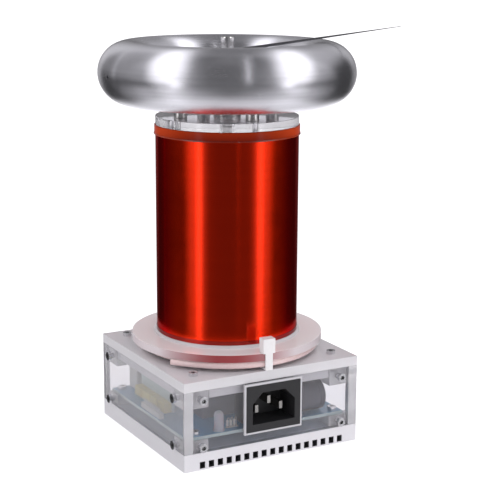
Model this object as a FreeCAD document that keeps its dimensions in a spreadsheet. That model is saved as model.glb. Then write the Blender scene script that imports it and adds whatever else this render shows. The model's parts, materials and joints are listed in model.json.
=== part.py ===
"""Desktop resonant transformer: a clear case on a finned base plate, a primary winding under a clear
flange disc, a tall secondary coil on a tube, and a spun toroid with a swivelling discharge needle.

Frame: millimetres, +Z up, the front face with the mains inlet towards -Y, and the origin in the
middle of the underside of the base plate.
"""

import FreeCAD, Part
import math
import os
import re

import Sketcher

V = FreeCAD.Vector

# Driving sizes
SIZES = {
    # Clear case
    "case_width": 100.0,
    "case_depth": 100.0,
    "case_height": 46.0,
    "base_thick": 9.0,
    "panel_thick": 5.0,
    "lid_thick": 5.0,
    "deck_thick": 5.5,
    "deck_gap": 0.3,
    "block_side": 10.0,
    "lower_block_tall": 5.5,
    "cut_overrun": 1.0,
    # Cooling channels through the base plate
    "channel_count": 17,
    "channel_pitch_share": 0.05,
    "channel_width_share": 0.6,
    "channel_tall": 3.5,
    "channel_floor": 0.8,
    # Case screws
    "screw_bore": 2.5,
    "screw_gap": 0.1,
    "screw_clearance": 0.4,
    "screw_head": 4.6,
    "screw_head_tall": 1.8,
    "screw_socket": 2.3,
    "screw_socket_deep": 1.1,
    "case_screw_long": 8.0,
    "board_screw_long": 4.0,
    "base_screw_long": 7.0,
    "counterbore": 5.2,
    # Circuit board and what stands on it
    "board_thick": 1.6,
    "board_gap": 1.0,
    "seat_gap": 0.3,
    "led_bore": 5.0,
    "led_flange": 5.8,
    "led_flange_tall": 1.0,
    "led_tall": 10.5,
    "led_inset": 4.5,
    "led_in": 13.0,
    "bulk_capacitor_headroom": 0.9,
    "rear_capacitor_long": 36.0,
    "capacitor_crimp_in": 3.0,
    "capacitor_crimp_deep": 0.7,
    "bulk_capacitor_side": 2.2,
    "bulk_capacitor_end_gap": 0.4,
    "bulk_capacitor_inset": 2.5,
    "rear_capacitor_in": 25.0,
    "rear_capacitor_start": 15.0,
    "tank_capacitor_headroom": 0.7,
    "tank_capacitor_gap": 1.5,
    "tank_capacitor_count": 4,
    "tank_capacitor_left_gap": 4.4,
    "tank_capacitor_right_gap": 8.0,
    "tank_capacitor_front_gap": 7.0,
    "tank_capacitor_rear_gap": 2.5,
    "filter_long": 28.0,
    "filter_wide": 10.0,
    "filter_headroom": 5.0,
    "filter_side_gap": 0.5,
    "filter_rear_gap": 2.0,
    "driver_board_headroom": 5.4,
    "driver_board_in": 12.0,
    "driver_board_front": 8.0,
    "driver_board_rear_gap": 3.0,
    "driver_capacitor_gap": 0.9,
    "driver_capacitor_count": 4,
    "driver_capacitor_wide": 4.6,
    "driver_capacitor_tall": 5.4,
    "header_long": 22.0,
    "header_wide": 2.5,
    "header_tall": 2.8,
    "header_in": 3.0,
    "header_front": 14.0,
    "header_pin": 0.6,
    "header_pin_rise": 2.4,
    "header_pitch": 2.54,
    "header_pin_count": 8,
    "ring_core_middle": 5.4,
    "ring_core_section": 2.4,
    "ring_core_in": 8.4,
    "ring_core_y": 6.0,
    "transistor_long": 20.0,
    "transistor_wide": 15.6,
    "transistor_tall": 4.8,
    "transistor_x": 22.0,
    "transistor_y": 16.0,
    "transistor_hole": 3.6,
    "transistor_hole_in": 5.5,
    # Mains inlet in the front panel
    "inlet_x": -0.6,
    "inlet_headroom": 3.8,
    "inlet_footroom": 1.5,
    "inlet_trim_step": 1.1,
    "inlet_trim_thick": 1.4,
    "inlet_flange_long": 31.0,
    "inlet_flange_step": 2.2,
    "inlet_flange_thick": 1.8,
    "inlet_body_long": 26.8,
    "inlet_body_deep": 17.0,
    "inlet_cutout_gap": 0.2,
    "inlet_mouth_long": 24.2,
    "inlet_mouth_wall": 1.7,
    "inlet_mouth_chamfer": 5.6,
    "inlet_mouth_deep": 14.5,
    "inlet_pin_spread": 7.0,
    "inlet_pin_drop": 2.0,
    "inlet_pin_tall": 4.0,
    "inlet_pin_thick": 2.0,
    "inlet_pin_back": 4.0,
    "inlet_pin_inset": 3.5,
    # Rear panel controls
    "knob_x": 12.0,
    "knob_bore": 15.0,
    "knob_tall": 11.0,
    "knob_skirt": 17.0,
    "knob_skirt_tall": 2.0,
    "knob_flute": 1.2,
    "knob_flute_count": 12,
    "knob_gap": 0.4,
    "knob_shaft": 6.0,
    "knob_shaft_gap": 0.05,
    "knob_shaft_long": 5.0,
    "pot_headroom": 2.1,
    "pot_footroom": 1.3,
    "pot_deep": 8.0,
    "pot_bush": 7.6,
    "pot_bush_gap": 0.3,
    "pot_nut": 11.0,
    "pot_nut_tall": 2.0,
    "jack_x": 30.0,
    "jack_bore": 3.6,
    "jack_bore_deep": 14.0,
    "jack_bush": 6.0,
    "jack_bush_rise": 2.0,
    "jack_nut": 8.0,
    "jack_nut_tall": 1.6,
    "jack_body_long": 12.0,
    "jack_body_wide": 8.0,
    "jack_body_tall": 9.0,
    # Primary: flange disc, spacers, winding and ties
    "disc_radius": 50.0,
    "disc_thick": 4.0,
    "disc_rise": 5.0,
    "spacer_circle": 28.0,
    "spacer_bore": 8.0,
    "disc_screw_bore": 3.0,
    "disc_screw_head": 5.5,
    "disc_screw_head_tall": 2.4,
    "disc_screw_socket": 2.9,
    "disc_screw_long": 22.0,
    "disc_nut": 6.2,
    "disc_nut_tall": 2.2,
    "wire_radius": 1.6,
    "wire_gap": 0.3,
    "wire_turn_pitch": 5.2,
    "wire_start_radius": 48.3,
    "wire_start_azimuth": 222.0,
    "wire_half_turns": 5,
    "wire_point_count": 1000,
    "wire_lead": 12.0,
    "tie_wide": 4.0,
    "tie_thick": 1.0,
    "tie_gap": 0.3,
    "tie_head_wide": 6.6,
    "tie_head_deep": 5.0,
    "tie_head_tall": 7.6,
    "tie_front_azimuth": 266.5,
    "tie_rear_azimuth": 72.0,
    # Secondary coil
    "tube_radius": 36.5,
    "tube_wall": 3.0,
    "tube_long": 109.0,
    "winding_gap": 0.05,
    "winding_thick": 0.4,
    "winding_foot": 0.5,
    "band_tall": 5.0,
    "band_thick": 0.9,
    "band_round": 0.5,
    "end_disc_thick": 4.4,
    "end_disc_radius": 36.9,
    # Top load
    "stud_bore": 5.0,
    "stud_gap": 0.1,
    "stud_head": 8.0,
    "stud_head_tall": 3.5,
    "stud_above_plate": 7.0,
    "hub_tall": 21.3,
    "hub_radius": 7.0,
    "hub_foot_tall": 3.4,
    "hub_neck_radius": 4.0,
    "hub_neck_start": 6.4,
    "pillar_circle": 26.6,
    "pillar_radius": 3.4,
    "toroid_radius": 50.0,
    "toroid_tube": 15.8,
    "toroid_wall": 1.0,
    "toroid_plate_thick": 1.2,
    "toroid_vent": 1.6,
    "washer_radius": 8.0,
    "washer_thick": 1.2,
    "post_foot_radius": 5.6,
    "post_foot_tall": 3.2,
    "post_radius": 3.4,
    "post_tall": 17.1,
    "post_chamfer": 0.5,
    "post_lift": 0.3,
    "needle_radius": 0.9,
    "needle_tip_radius": 0.12,
    "needle_long": 87.7,
    "needle_root": 0.8,
    "needle_stem_long": 6.0,
    "needle_above_plate": 9.7,
    "needle_tilt": 8.5,
    "needle_azimuth": -29.5,
    "needle_gap": 0.05,
}

doc = FreeCAD.newDocument("resonant_transformer")
sheet = doc.addObject("Spreadsheet::Sheet", "Sizes")
made = []


def write_size(row, alias, amount):
    """Put one size into the sheet, under its own name."""
    sheet.set(f"A{row}", alias)
    sheet.set(f"B{row}", str(amount))
    sheet.setAlias(f"B{row}", alias)


for row, (alias, amount) in enumerate(SIZES.items(), start=1):
    write_size(row, alias, amount)
doc.recompute()


def add_size(alias, amount):
    """Add a place worked out from the other sizes, for formulas to use by name."""
    SIZES[alias] = amount
    write_size(len(SIZES), alias, amount)
    return alias


def size(alias):
    """Read one size from the sheet."""
    return float(sheet.get(alias))


def sized(formula):
    """Point every size named in a formula at its cell in the sheet."""
    def cell(match):
        word = match.group(0)
        return "Sizes." + word if word in SIZES else word
    return re.sub(r"[a-z][a-z0-9_]*", cell, formula)


def bind(item, **formulas):
    """Bind properties of an object to formulas."""
    for name, formula in formulas.items():
        item.setExpression(name, sized(formula))
    return item


def move(item, x="0", y="0", z="0"):
    """Bind an object's place to formulas."""
    for axis, formula in (("x", x), ("y", y), ("z", z)):
        if formula != "0":
            item.setExpression("Placement.Base." + axis, sized(formula))
    return item


def turn(item, axis, degrees):
    """Turn an object about an axis through its own origin."""
    item.Placement = FreeCAD.Placement(V(), FreeCAD.Rotation(axis, degrees))
    return item


def box(name, length, width, height, x="0", y="0", z="0"):
    """A block from its lowest corner."""
    item = doc.addObject("Part::Box", name)
    bind(item, Length=length, Width=width, Height=height)
    return move(item, x, y, z)


def middle_box(name, length, width, height, x="0", y="0", z="0"):
    """A block centred on x and y, standing on z."""
    return box(name, length, width, height, f"{x} - ({length}) / 2", f"{y} - ({width}) / 2", z)


def rod(name, radius, height, x="0", y="0", z="0", axis="Z"):
    """A cylinder that starts at the given place and runs along +X, +Y or +Z."""
    item = doc.addObject("Part::Cylinder", name)
    bind(item, Radius=radius, Height=height)
    if axis == "X":
        turn(item, V(0, 1, 0), 90)
    if axis == "Y":
        turn(item, V(1, 0, 0), -90)
    return move(item, x, y, z)


def prism(name, across_corners, height, x="0", y="0", z="0", axis="Z"):
    """A hexagonal bar that starts at the given place."""
    item = doc.addObject("Part::Prism", name)
    item.Polygon = 6
    bind(item, Circumradius=f"({across_corners}) / 2", Height=height)
    if axis == "X":
        turn(item, V(0, 1, 0), 90)
    if axis == "Y":
        turn(item, V(1, 0, 0), -90)
    return move(item, x, y, z)


def cut(name, base, *tools):
    """The base less all the tools."""
    item = doc.addObject("Part::Cut", name)
    item.Base = base
    item.Tool = tools[0] if len(tools) == 1 else join(name + "_cutters", *tools)
    return item


def join(name, *pieces):
    """All the pieces as one."""
    item = doc.addObject("Part::MultiFuse", name)
    item.Shapes = list(pieces)
    return item


def keep(item, name):
    """Name a finished sub-part, which writes it out at the end."""
    item.Label = name
    made.append(item)
    return item


def origin_plane(body, role):
    """One of a body's own origin planes."""
    return next(part for part in body.Origin.OriginFeatures if part.Role == role)


def sketch_on(body, role, name):
    """A sketch on one of a body's origin planes."""
    sketch = body.newObject("Sketcher::SketchObject", name)
    sketch.AttachmentSupport = (origin_plane(body, role), [""])
    sketch.MapMode = "FlatFace"
    return sketch


def hold(sketch, kind, *where, formula):
    """Add a dimension that follows a formula."""
    index = sketch.addConstraint(Sketcher.Constraint(kind, *where, 1.0))
    sketch.setExpression(f"Constraints[{index}]", sized(formula))


def outline(sketch, points):
    """A closed outline of straight lines, each corner held at formulas for its two coordinates."""
    count = len(points)
    rough = [V(math.cos(2 * math.pi * step / count), math.sin(2 * math.pi * step / count), 0)
             for step in range(count)]
    for step in range(count):
        sketch.addGeometry(Part.LineSegment(rough[step], rough[(step + 1) % count]), False)
    for step in range(count):
        sketch.addConstraint(Sketcher.Constraint("Coincident", step, 2, (step + 1) % count, 1))
    for step, (across, up) in enumerate(points):
        if across == "0":
            sketch.addConstraint(Sketcher.Constraint("PointOnObject", step, 1, -2))
        else:
            hold(sketch, "DistanceX", -1, 1, step, 1, formula=across)
        if up == "0":
            sketch.addConstraint(Sketcher.Constraint("PointOnObject", step, 1, -1))
        else:
            hold(sketch, "DistanceY", -1, 1, step, 1, formula=up)


def turned(name, points):
    """A body of revolution about Z, from corners given as radius and height."""
    body = doc.addObject("PartDesign::Body", name)
    profile = sketch_on(body, "XZ_Plane", name + "_profile")
    outline(profile, points)
    spin = body.newObject("PartDesign::Revolution", name + "_spin")
    spin.Profile = profile
    spin.ReferenceAxis = (profile, ["V_Axis"])
    spin.Angle = 360
    return body


CORNERS = [("front", "left", "-1", "-1"), ("front", "right", "1", "-1"),
           ("rear", "left", "-1", "1"), ("rear", "right", "1", "1")]

# Heights and places that several pieces share
LID_BASE = "(case_height - lid_thick)"
DECK_BASE = "(case_height - lid_thick - deck_thick)"
BOARD_BASE = "(base_thick + lower_block_tall)"
BOARD_TOP = "(base_thick + lower_block_tall + board_thick)"
FRONT = "(-case_depth / 2)"
INNER_X = "(case_width / 2 - panel_thick)"
INNER_Y = "(case_depth / 2 - panel_thick)"
SCREW_X = "(case_width / 2 - panel_thick - block_side / 2)"
SCREW_Y = "(case_depth / 2 - panel_thick - block_side / 2)"
UPPER_SCREW_Z = "(case_height - lid_thick - block_side / 2)"
LOWER_SCREW_Z = "(base_thick + lower_block_tall / 2)"
SCREW_HOLE = "((screw_bore + screw_clearance) / 2)"
THREAD_HOLE = "((screw_bore + screw_gap) / 2)"
THREAD_DEEP = "(case_screw_long - panel_thick + screw_clearance)"
DISC_BASE = "(case_height + disc_rise)"
DISC_TOP = "(case_height + disc_rise + disc_thick)"
TUBE_TOP = "(case_height + disc_rise + disc_thick + tube_long)"
PLATE_BASE = f"({TUBE_TOP} + end_disc_thick + hub_tall)"
PLATE_TOP = f"({PLATE_BASE} + toroid_plate_thick)"
TOROID_RISE = f"({PLATE_BASE} + toroid_plate_thick / 2)"
POST_TOP = f"({PLATE_TOP} + post_tall)"
DISC_SCREW_PLACE = "(spacer_circle * sqrt(2) / 2)"
DISC_SCREW_HOLE = "((disc_screw_bore + screw_clearance) / 2)"
CHANNEL_PITCH = "(case_width * channel_pitch_share)"
CHANNEL_WIDTH = f"({CHANNEL_PITCH} * channel_width_share)"

# Room between the board and the deck, and what fills it
ROOM = f"({DECK_BASE} - {BOARD_TOP})"
CAPACITOR_BORE = f"({ROOM} - disc_nut_tall - seat_gap - bulk_capacitor_headroom)"
REAR_CAPACITOR_X = f"({INNER_X} - rear_capacitor_in)"
FILTER_FRONT = f"({INNER_Y} - filter_rear_gap - filter_wide)"
DRIVER_X = f"(driver_board_in - {INNER_X})"
DRIVER_LONG = f"({FILTER_FRONT} - driver_board_rear_gap + driver_board_front)"
DRIVER_PITCH = f"({DRIVER_LONG} / driver_capacitor_count)"
TANK_LEFT = f"({DRIVER_X} + board_thick + tank_capacitor_left_gap)"
TANK_RIGHT = f"({REAR_CAPACITOR_X} - {CAPACITOR_BORE} / 2 - tank_capacitor_right_gap)"
TANK_FRONT = f"({FRONT} + inlet_body_deep + inlet_pin_back + tank_capacitor_front_gap)"
TANK_PITCH = (f"(({FILTER_FRONT} - tank_capacitor_rear_gap + tank_capacitor_gap - {TANK_FRONT})"
              " / tank_capacitor_count)")

# Heights of the inlet and of the rear controls
INLET_BODY_TALL = f"({LID_BASE} - {BOARD_TOP} - inlet_headroom - inlet_footroom)"
INLET_RISE = f"({BOARD_TOP} + inlet_footroom + {INLET_BODY_TALL} / 2)"
INLET_MOUTH_TALL = f"({INLET_BODY_TALL} - 2 * inlet_mouth_wall)"
INLET_FLANGE_TALL = f"({INLET_BODY_TALL} + 2 * inlet_flange_step)"
INLET_TRIM_TALL = f"({INLET_FLANGE_TALL} + 2 * inlet_trim_step)"
POT_BORE = f"({ROOM} - pot_headroom - pot_footroom)"
KNOB_RISE = f"({BOARD_TOP} + pot_footroom + {POT_BORE} / 2)"

# Directions from the axis to the four pillars under the toroid
PILLARS = [("right", "1", "0"), ("rear", "0", "1"), ("left", "-1", "0"), ("front", "0", "-1")]

SCREWS = {
    "case": ("screw_bore", "screw_head", "screw_head_tall", "screw_socket", "screw_socket_deep",
             "case_screw_long"),
    "base": ("screw_bore", "screw_head", "screw_head_tall", "screw_socket", "screw_socket_deep",
             "base_screw_long"),
    "board": ("screw_bore", "screw_head", "screw_head_tall", "screw_socket", "screw_socket_deep",
              "board_screw_long"),
    "disc": ("disc_screw_bore", "disc_screw_head", "disc_screw_head_tall", "disc_screw_socket",
             "screw_socket_deep", "disc_screw_long"),
}
FACINGS = {"top": ("Z", 1), "under": ("Z", -1), "front": ("Y", -1), "rear": ("Y", 1),
           "left": ("X", -1), "right": ("X", 1)}


def screw(name, kind, facing, x, y, z):
    """A socket screw whose head sits at the given place and faces the given way."""
    bore, head, head_tall, socket, socket_deep, long = SCREWS[kind]
    axis, way = FACINGS[facing]

    def along(start):
        places = {"X": x, "Y": y, "Z": z}
        places[axis] = f"{places[axis]} + ({start})"
        return [places["X"], places["Y"], places["Z"]]

    head_start, shank_start, socket_start = "0", f"-{long}", f"{head_tall} - {socket_deep}"
    if way < 0:
        head_start, shank_start, socket_start = f"-{head_tall}", "0", f"-{head_tall}"
    shank = rod(name + "_shank", f"{bore} / 2", long, *along(shank_start), axis=axis)
    cap = rod(name + "_cap", f"{head} / 2", head_tall, *along(head_start), axis=axis)
    recess = prism(name + "_recess", socket, socket_deep, *along(socket_start), axis=axis)
    return cut(name, join(name + "_blank", shank, cap), recess)


def group(name, pieces):
    """Alike pieces kept together under one name."""
    item = doc.addObject("Part::Compound", name)
    item.Links = pieces
    return keep(item, name)


def disc_screw_holes(name, base, tall):
    """The four holes for the flange disc's screws through one plate."""
    return [rod(f"{name}_disc_hole_{front}_{side}", DISC_SCREW_HOLE, tall,
                f"{sx} * {DISC_SCREW_PLACE}", f"{sy} * {DISC_SCREW_PLACE}", base)
            for front, side, sx, sy in CORNERS]


def pillar_holes(name, base, tall):
    """The four holes for the pillars' screws through one plate."""
    return [rod(f"{name}_pillar_hole_{side}", SCREW_HOLE, tall, f"{sx} * pillar_circle",
                f"{sy} * pillar_circle", base)
            for side, sx, sy in PILLARS]


def base_plate():
    """The finned base: a plate with cooling channels that run from front to rear."""
    body = doc.addObject("PartDesign::Body", "base_blank")
    square = sketch_on(body, "XY_Plane", "base_square")
    outline(square, [("-case_width / 2", "-case_depth / 2"), ("case_width / 2", "-case_depth / 2"),
                     ("case_width / 2", "case_depth / 2"), ("-case_width / 2", "case_depth / 2")])
    pad = body.newObject("PartDesign::Pad", "base_pad")
    pad.Profile = square
    bind(pad, Length="base_thick")
    slot = sketch_on(body, "XZ_Plane", "channel_mouth")
    first = f"-(channel_count - 1) * {CHANNEL_PITCH} / 2"
    left, right = f"{first} - {CHANNEL_WIDTH} / 2", f"{first} + {CHANNEL_WIDTH} / 2"
    top = "channel_floor + channel_tall"
    outline(slot, [(left, "channel_floor"), (right, "channel_floor"), (right, top), (left, top)])
    channel = body.newObject("PartDesign::Pocket", "channel")
    channel.Profile = slot
    channel.Type = "ThroughAll"
    channel.Midplane = True
    doc.recompute()
    row = body.newObject("PartDesign::LinearPattern", "channel_row")
    row.Originals = [channel]
    row.Direction = (slot, ["H_Axis"])
    bind(row, Length=f"(channel_count - 1) * {CHANNEL_PITCH}", Occurrences="channel_count")
    body.Tip = row
    holes = []
    seat = "channel_floor + channel_tall"
    for front, side, sx, sy in CORNERS:
        x, y = f"{sx} * {SCREW_X}", f"{sy} * {SCREW_Y}"
        holes.append(rod(f"base_counterbore_{front}_{side}", "counterbore / 2",
                         f"{seat} + cut_overrun", x, y, "-cut_overrun"))
        holes.append(rod(f"base_hole_{front}_{side}", SCREW_HOLE, "base_thick + 2 * cut_overrun",
                         x, y, "-cut_overrun"))
    keep(cut("base_plate_holed", body, *holes), "base_plate")
    group("base_screws", [screw(f"base_screw_{front}_{side}", "base", "under",
                                f"{sx} * {SCREW_X}", f"{sy} * {SCREW_Y}", seat)
                          for front, side, sx, sy in CORNERS])


def cross_panel(name, start, cutters):
    """The front or rear panel, between the side panels, with its four screw holes."""
    blank = box(name + "_blank", f"2 * {INNER_X}", "panel_thick", f"{LID_BASE} - base_thick",
                f"-{INNER_X}", start, "base_thick")
    holes = [rod(f"{name}_hole_{level}_{side}", SCREW_HOLE, "panel_thick + 2 * cut_overrun",
                 f"{sx} * {SCREW_X}", f"{start} - cut_overrun", height, axis="Y")
             for level, height in (("upper", UPPER_SCREW_Z), ("lower", LOWER_SCREW_Z))
             for side, sx in (("left", "-1"), ("right", "1"))]
    keep(cut(name + "_holed", blank, *holes, *cutters), name)


def side_panel(name, start):
    """The left or right panel, as deep as the case, with its four screw holes."""
    blank = box(name + "_blank", "panel_thick", "case_depth", f"{LID_BASE} - base_thick",
                start, FRONT, "base_thick")
    holes = [rod(f"{name}_hole_{level}_{front}", SCREW_HOLE, "panel_thick + 2 * cut_overrun",
                 f"{start} - cut_overrun", f"{sy} * {SCREW_Y}", height, axis="X")
             for level, height in (("upper", UPPER_SCREW_Z), ("lower", LOWER_SCREW_Z))
             for front, sy in (("front", "-1"), ("rear", "1"))]
    keep(cut(name + "_holed", blank, *holes), name)


def case_panels():
    """The four clear walls."""
    window = middle_box("inlet_cutout", "inlet_body_long + 2 * inlet_cutout_gap",
                        "panel_thick + 2 * cut_overrun",
                        f"{INLET_BODY_TALL} + 2 * inlet_cutout_gap",
                        "inlet_x", "-case_depth / 2 + panel_thick / 2",
                        f"{BOARD_TOP} + inlet_footroom - inlet_cutout_gap")
    cross_panel("front_panel", FRONT, [window])
    pot_hole = rod("pot_hole", "pot_bush / 2 + pot_bush_gap", "panel_thick + 2 * cut_overrun",
                   "knob_x", f"{INNER_Y} - cut_overrun", KNOB_RISE, axis="Y")
    jack_hole = rod("jack_hole", "jack_bush / 2 + pot_bush_gap", "panel_thick + 2 * cut_overrun",
                    "jack_x", f"{INNER_Y} - cut_overrun", KNOB_RISE, axis="Y")
    cross_panel("rear_panel", INNER_Y, [pot_hole, jack_hole])
    side_panel("left_panel", "-case_width / 2")
    side_panel("right_panel", INNER_X)


def lid_and_deck():
    """The clear lid, and the white deck under it with room for the corner blocks and the inlet."""
    lid = box("lid_blank", "case_width", "case_depth", "lid_thick", "-case_width / 2", FRONT, LID_BASE)
    holes = [rod(f"lid_hole_{front}_{side}", SCREW_HOLE, "lid_thick + 2 * cut_overrun",
                 f"{sx} * {SCREW_X}", f"{sy} * {SCREW_Y}", f"{LID_BASE} - cut_overrun")
             for front, side, sx, sy in CORNERS]
    through = disc_screw_holes("lid", f"{DECK_BASE} - cut_overrun",
                               "lid_thick + deck_thick + 2 * cut_overrun")
    keep(cut("lid_holed", lid, *holes, *through), "lid_plate")
    deck = middle_box("deck_blank", f"2 * ({INNER_X} - deck_gap)", f"2 * ({INNER_Y} - deck_gap)",
                      "deck_thick", "0", "0", DECK_BASE)
    notch = "2 * (block_side + deck_gap)"
    notches = [middle_box(f"deck_notch_{front}_{side}", notch, notch, "deck_thick + 2 * cut_overrun",
                          f"{sx} * {INNER_X}", f"{sy} * {INNER_Y}", f"{DECK_BASE} - cut_overrun")
               for front, side, sx, sy in CORNERS]
    notches.append(middle_box("deck_inlet_notch", "inlet_body_long + 4 * deck_gap",
                              "2 * (inlet_body_deep - panel_thick + 2 * deck_gap)",
                              "deck_thick + 2 * cut_overrun", "inlet_x", f"-{INNER_Y}",
                              f"{DECK_BASE} - cut_overrun"))
    through = disc_screw_holes("deck", f"{DECK_BASE} - cut_overrun", "deck_thick + 2 * cut_overrun")
    keep(cut("deck_notched", deck, *notches, *through), "deck_plate")


def corner_blocks():
    """The blocks that the panels, the lid and the board are screwed to, one in each corner."""
    for front, side, sx, sy in CORNERS:
        x, y = f"{sx} * {SCREW_X}", f"{sy} * {SCREW_Y}"
        reach_x = f"{sx} * {INNER_X} - {THREAD_DEEP} * (1 + {sx}) / 2"
        reach_y = f"{sy} * {INNER_Y} - {THREAD_DEEP} * (1 + {sy}) / 2"
        for level, low, tall, height in (("upper", f"{LID_BASE} - block_side", "block_side",
                                          UPPER_SCREW_Z),
                                         ("lower", "base_thick", "lower_block_tall",
                                          LOWER_SCREW_Z)):
            name = f"{level}_block_{front}_{side}"
            blank = middle_box(name + "_blank", "block_side", "block_side", tall, x, y, low)
            tools = [rod(name + "_bore_x", THREAD_HOLE, THREAD_DEEP, reach_x, y, height, axis="X"),
                     rod(name + "_bore_y", THREAD_HOLE, THREAD_DEEP, x, reach_y, height, axis="Y")]
            if level == "upper":
                tools.append(rod(name + "_bore_top", THREAD_HOLE, THREAD_DEEP,
                                 x, y, f"{LID_BASE} - {THREAD_DEEP}"))
            else:
                board_deep = "(board_screw_long - board_thick + screw_gap)"
                tools.append(rod(name + "_bore_top", THREAD_HOLE, board_deep,
                                 x, y, f"{BOARD_BASE} - {board_deep}"))
                tools.append(rod(name + "_bore_under", THREAD_HOLE,
                                 "channel_floor + channel_tall + base_screw_long - base_thick"
                                 " + screw_gap", x, y, "base_thick"))
            keep(cut(name + "_bored", blank, *tools), name)


def case_screws():
    """Four screws in each wall and four in the lid."""
    levels = (("upper", UPPER_SCREW_Z), ("lower", LOWER_SCREW_Z))
    group("lid_screws", [screw(f"lid_screw_{front}_{side}", "case", "top", f"{sx} * {SCREW_X}",
                               f"{sy} * {SCREW_Y}", "case_height")
                         for front, side, sx, sy in CORNERS])
    for face, sign in (("front", "-1"), ("rear", "1")):
        group(face + "_screws", [screw(f"{face}_screw_{level}_{side}", "case", face,
                                       f"{sx} * {SCREW_X}", f"{sign} * case_depth / 2", height)
                                 for level, height in levels
                                 for side, sx in (("left", "-1"), ("right", "1"))])
    for face, sign in (("left", "-1"), ("right", "1")):
        group(face + "_screws", [screw(f"{face}_screw_{level}_{front}", "case", face,
                                       f"{sign} * case_width / 2", f"{sy} * {SCREW_Y}", height)
                                 for level, height in levels
                                 for front, sy in (("front", "-1"), ("rear", "1"))])


def mains_inlet():
    """The three-pin inlet: a housing with a chamfered mouth, its pins and the trim round its flange."""
    front = f"{FRONT} - inlet_flange_thick"
    flange = middle_box("inlet_flange", "inlet_flange_long", "inlet_flange_thick",
                        INLET_FLANGE_TALL, "inlet_x", f"{FRONT} - inlet_flange_thick / 2",
                        f"{INLET_RISE} - {INLET_FLANGE_TALL} / 2")
    shell = middle_box("inlet_shell", "inlet_body_long", "inlet_body_deep", INLET_BODY_TALL,
                       "inlet_x", f"{FRONT} + inlet_body_deep / 2",
                       f"{BOARD_TOP} + inlet_footroom")
    mouth = doc.addObject("PartDesign::Body", "inlet_mouth")
    edge = sketch_on(mouth, "XZ_Plane", "inlet_mouth_outline")
    half, high = "inlet_mouth_long / 2", f"{INLET_MOUTH_TALL} / 2"
    outline(edge, [(f"-{half}", f"-{high}"), (half, f"-{high}"),
                   (half, f"{high} - inlet_mouth_chamfer"), (f"{half} - inlet_mouth_chamfer", high),
                   (f"-{half} + inlet_mouth_chamfer", high), (f"-{half}", f"{high} - inlet_mouth_chamfer")])
    hollow = mouth.newObject("PartDesign::Pad", "inlet_mouth_hollow")
    hollow.Profile = edge
    hollow.Reversed = True
    bind(hollow, Length="inlet_mouth_deep + cut_overrun")
    move(mouth, "inlet_x", f"{front} - cut_overrun", INLET_RISE)
    long = "inlet_body_deep - inlet_pin_inset + inlet_pin_back"
    blades = [middle_box(f"inlet_{name}_pin", "inlet_pin_thick", long, "inlet_pin_tall",
                         f"inlet_x + {side} * inlet_pin_spread",
                         f"{FRONT} + inlet_pin_inset + ({long}) / 2",
                         f"{INLET_RISE} + {up} * inlet_pin_drop - inlet_pin_tall / 2")
              for name, side, up in (("left", "-1", "-1"), ("earth", "0", "1"), ("right", "1", "-1"))]
    pins = group("inlet_pins", blades)
    keep(cut("inlet_housing_hollow", join("inlet_housing_blank", flange, shell), mouth, pins),
         "inlet_housing")
    trim = middle_box("inlet_trim_blank", "inlet_flange_long + 2 * inlet_trim_step",
                      "inlet_trim_thick", INLET_TRIM_TALL, "inlet_x",
                      f"{FRONT} - inlet_trim_thick / 2", f"{INLET_RISE} - {INLET_TRIM_TALL} / 2")
    keep(cut("inlet_trim_ring", trim, flange), "inlet_trim")


def circuit_board():
    """The board on the lower blocks, its screws, and the indicator lamp near the front."""
    reach_x, reach_y = f"({INNER_X} - board_gap)", f"({INNER_Y} - board_gap)"
    blank = middle_box("board_blank", f"2 * {reach_x}", f"2 * {reach_y}", "board_thick",
                       "0", "0", BOARD_BASE)
    holes = [rod(f"board_hole_{front}_{side}", SCREW_HOLE, "board_thick + 2 * cut_overrun",
                 f"{sx} * {SCREW_X}", f"{sy} * {SCREW_Y}", f"{BOARD_BASE} - cut_overrun")
             for front, side, sx, sy in CORNERS]
    keep(cut("board_holed", blank, *holes), "circuit_board")
    group("board_screws", [screw(f"board_screw_{front}_{side}", "board", "top",
                                 f"{sx} * {SCREW_X}", f"{sy} * {SCREW_Y}", BOARD_TOP)
                           for front, side, sx, sy in CORNERS])
    x, y = f"-({SCREW_X} - led_in)", f"-({INNER_Y} - led_inset)"
    barrel = rod("led_barrel", "led_bore / 2", "led_tall - led_bore / 2", x, y, BOARD_TOP)
    foot = rod("led_foot", "led_flange / 2", "led_flange_tall", x, y, BOARD_TOP)
    dome = doc.addObject("Part::Sphere", "led_dome")
    bind(dome, Radius="led_bore / 2")
    move(dome, x, y, f"{BOARD_TOP} + led_tall - led_bore / 2")
    keep(join("led_whole", barrel, foot, dome), "indicator_lamp")


def lying_capacitor(name, long, x, y, axis, crimp):
    """A large capacitor that lies on the board, with the rolled crimp near its far end."""
    z = f"{BOARD_TOP} + seat_gap + {CAPACITOR_BORE} / 2"
    can = rod(name + "_can", f"{CAPACITOR_BORE} / 2", long, x, y, z, axis=axis)
    roll = doc.addObject("Part::Torus", name + "_crimp")
    bind(roll, Radius1=f"{CAPACITOR_BORE} / 2 + capacitor_crimp_deep / 2",
         Radius2="capacitor_crimp_deep")
    turn(roll, V(0, 1, 0) if axis == "X" else V(1, 0, 0), 90)
    if axis == "X":
        move(roll, f"{x} + {crimp}", y, z)
    else:
        move(roll, x, f"{y} + {crimp}", z)
    keep(cut(name + "_rolled", can, roll), name)


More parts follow.
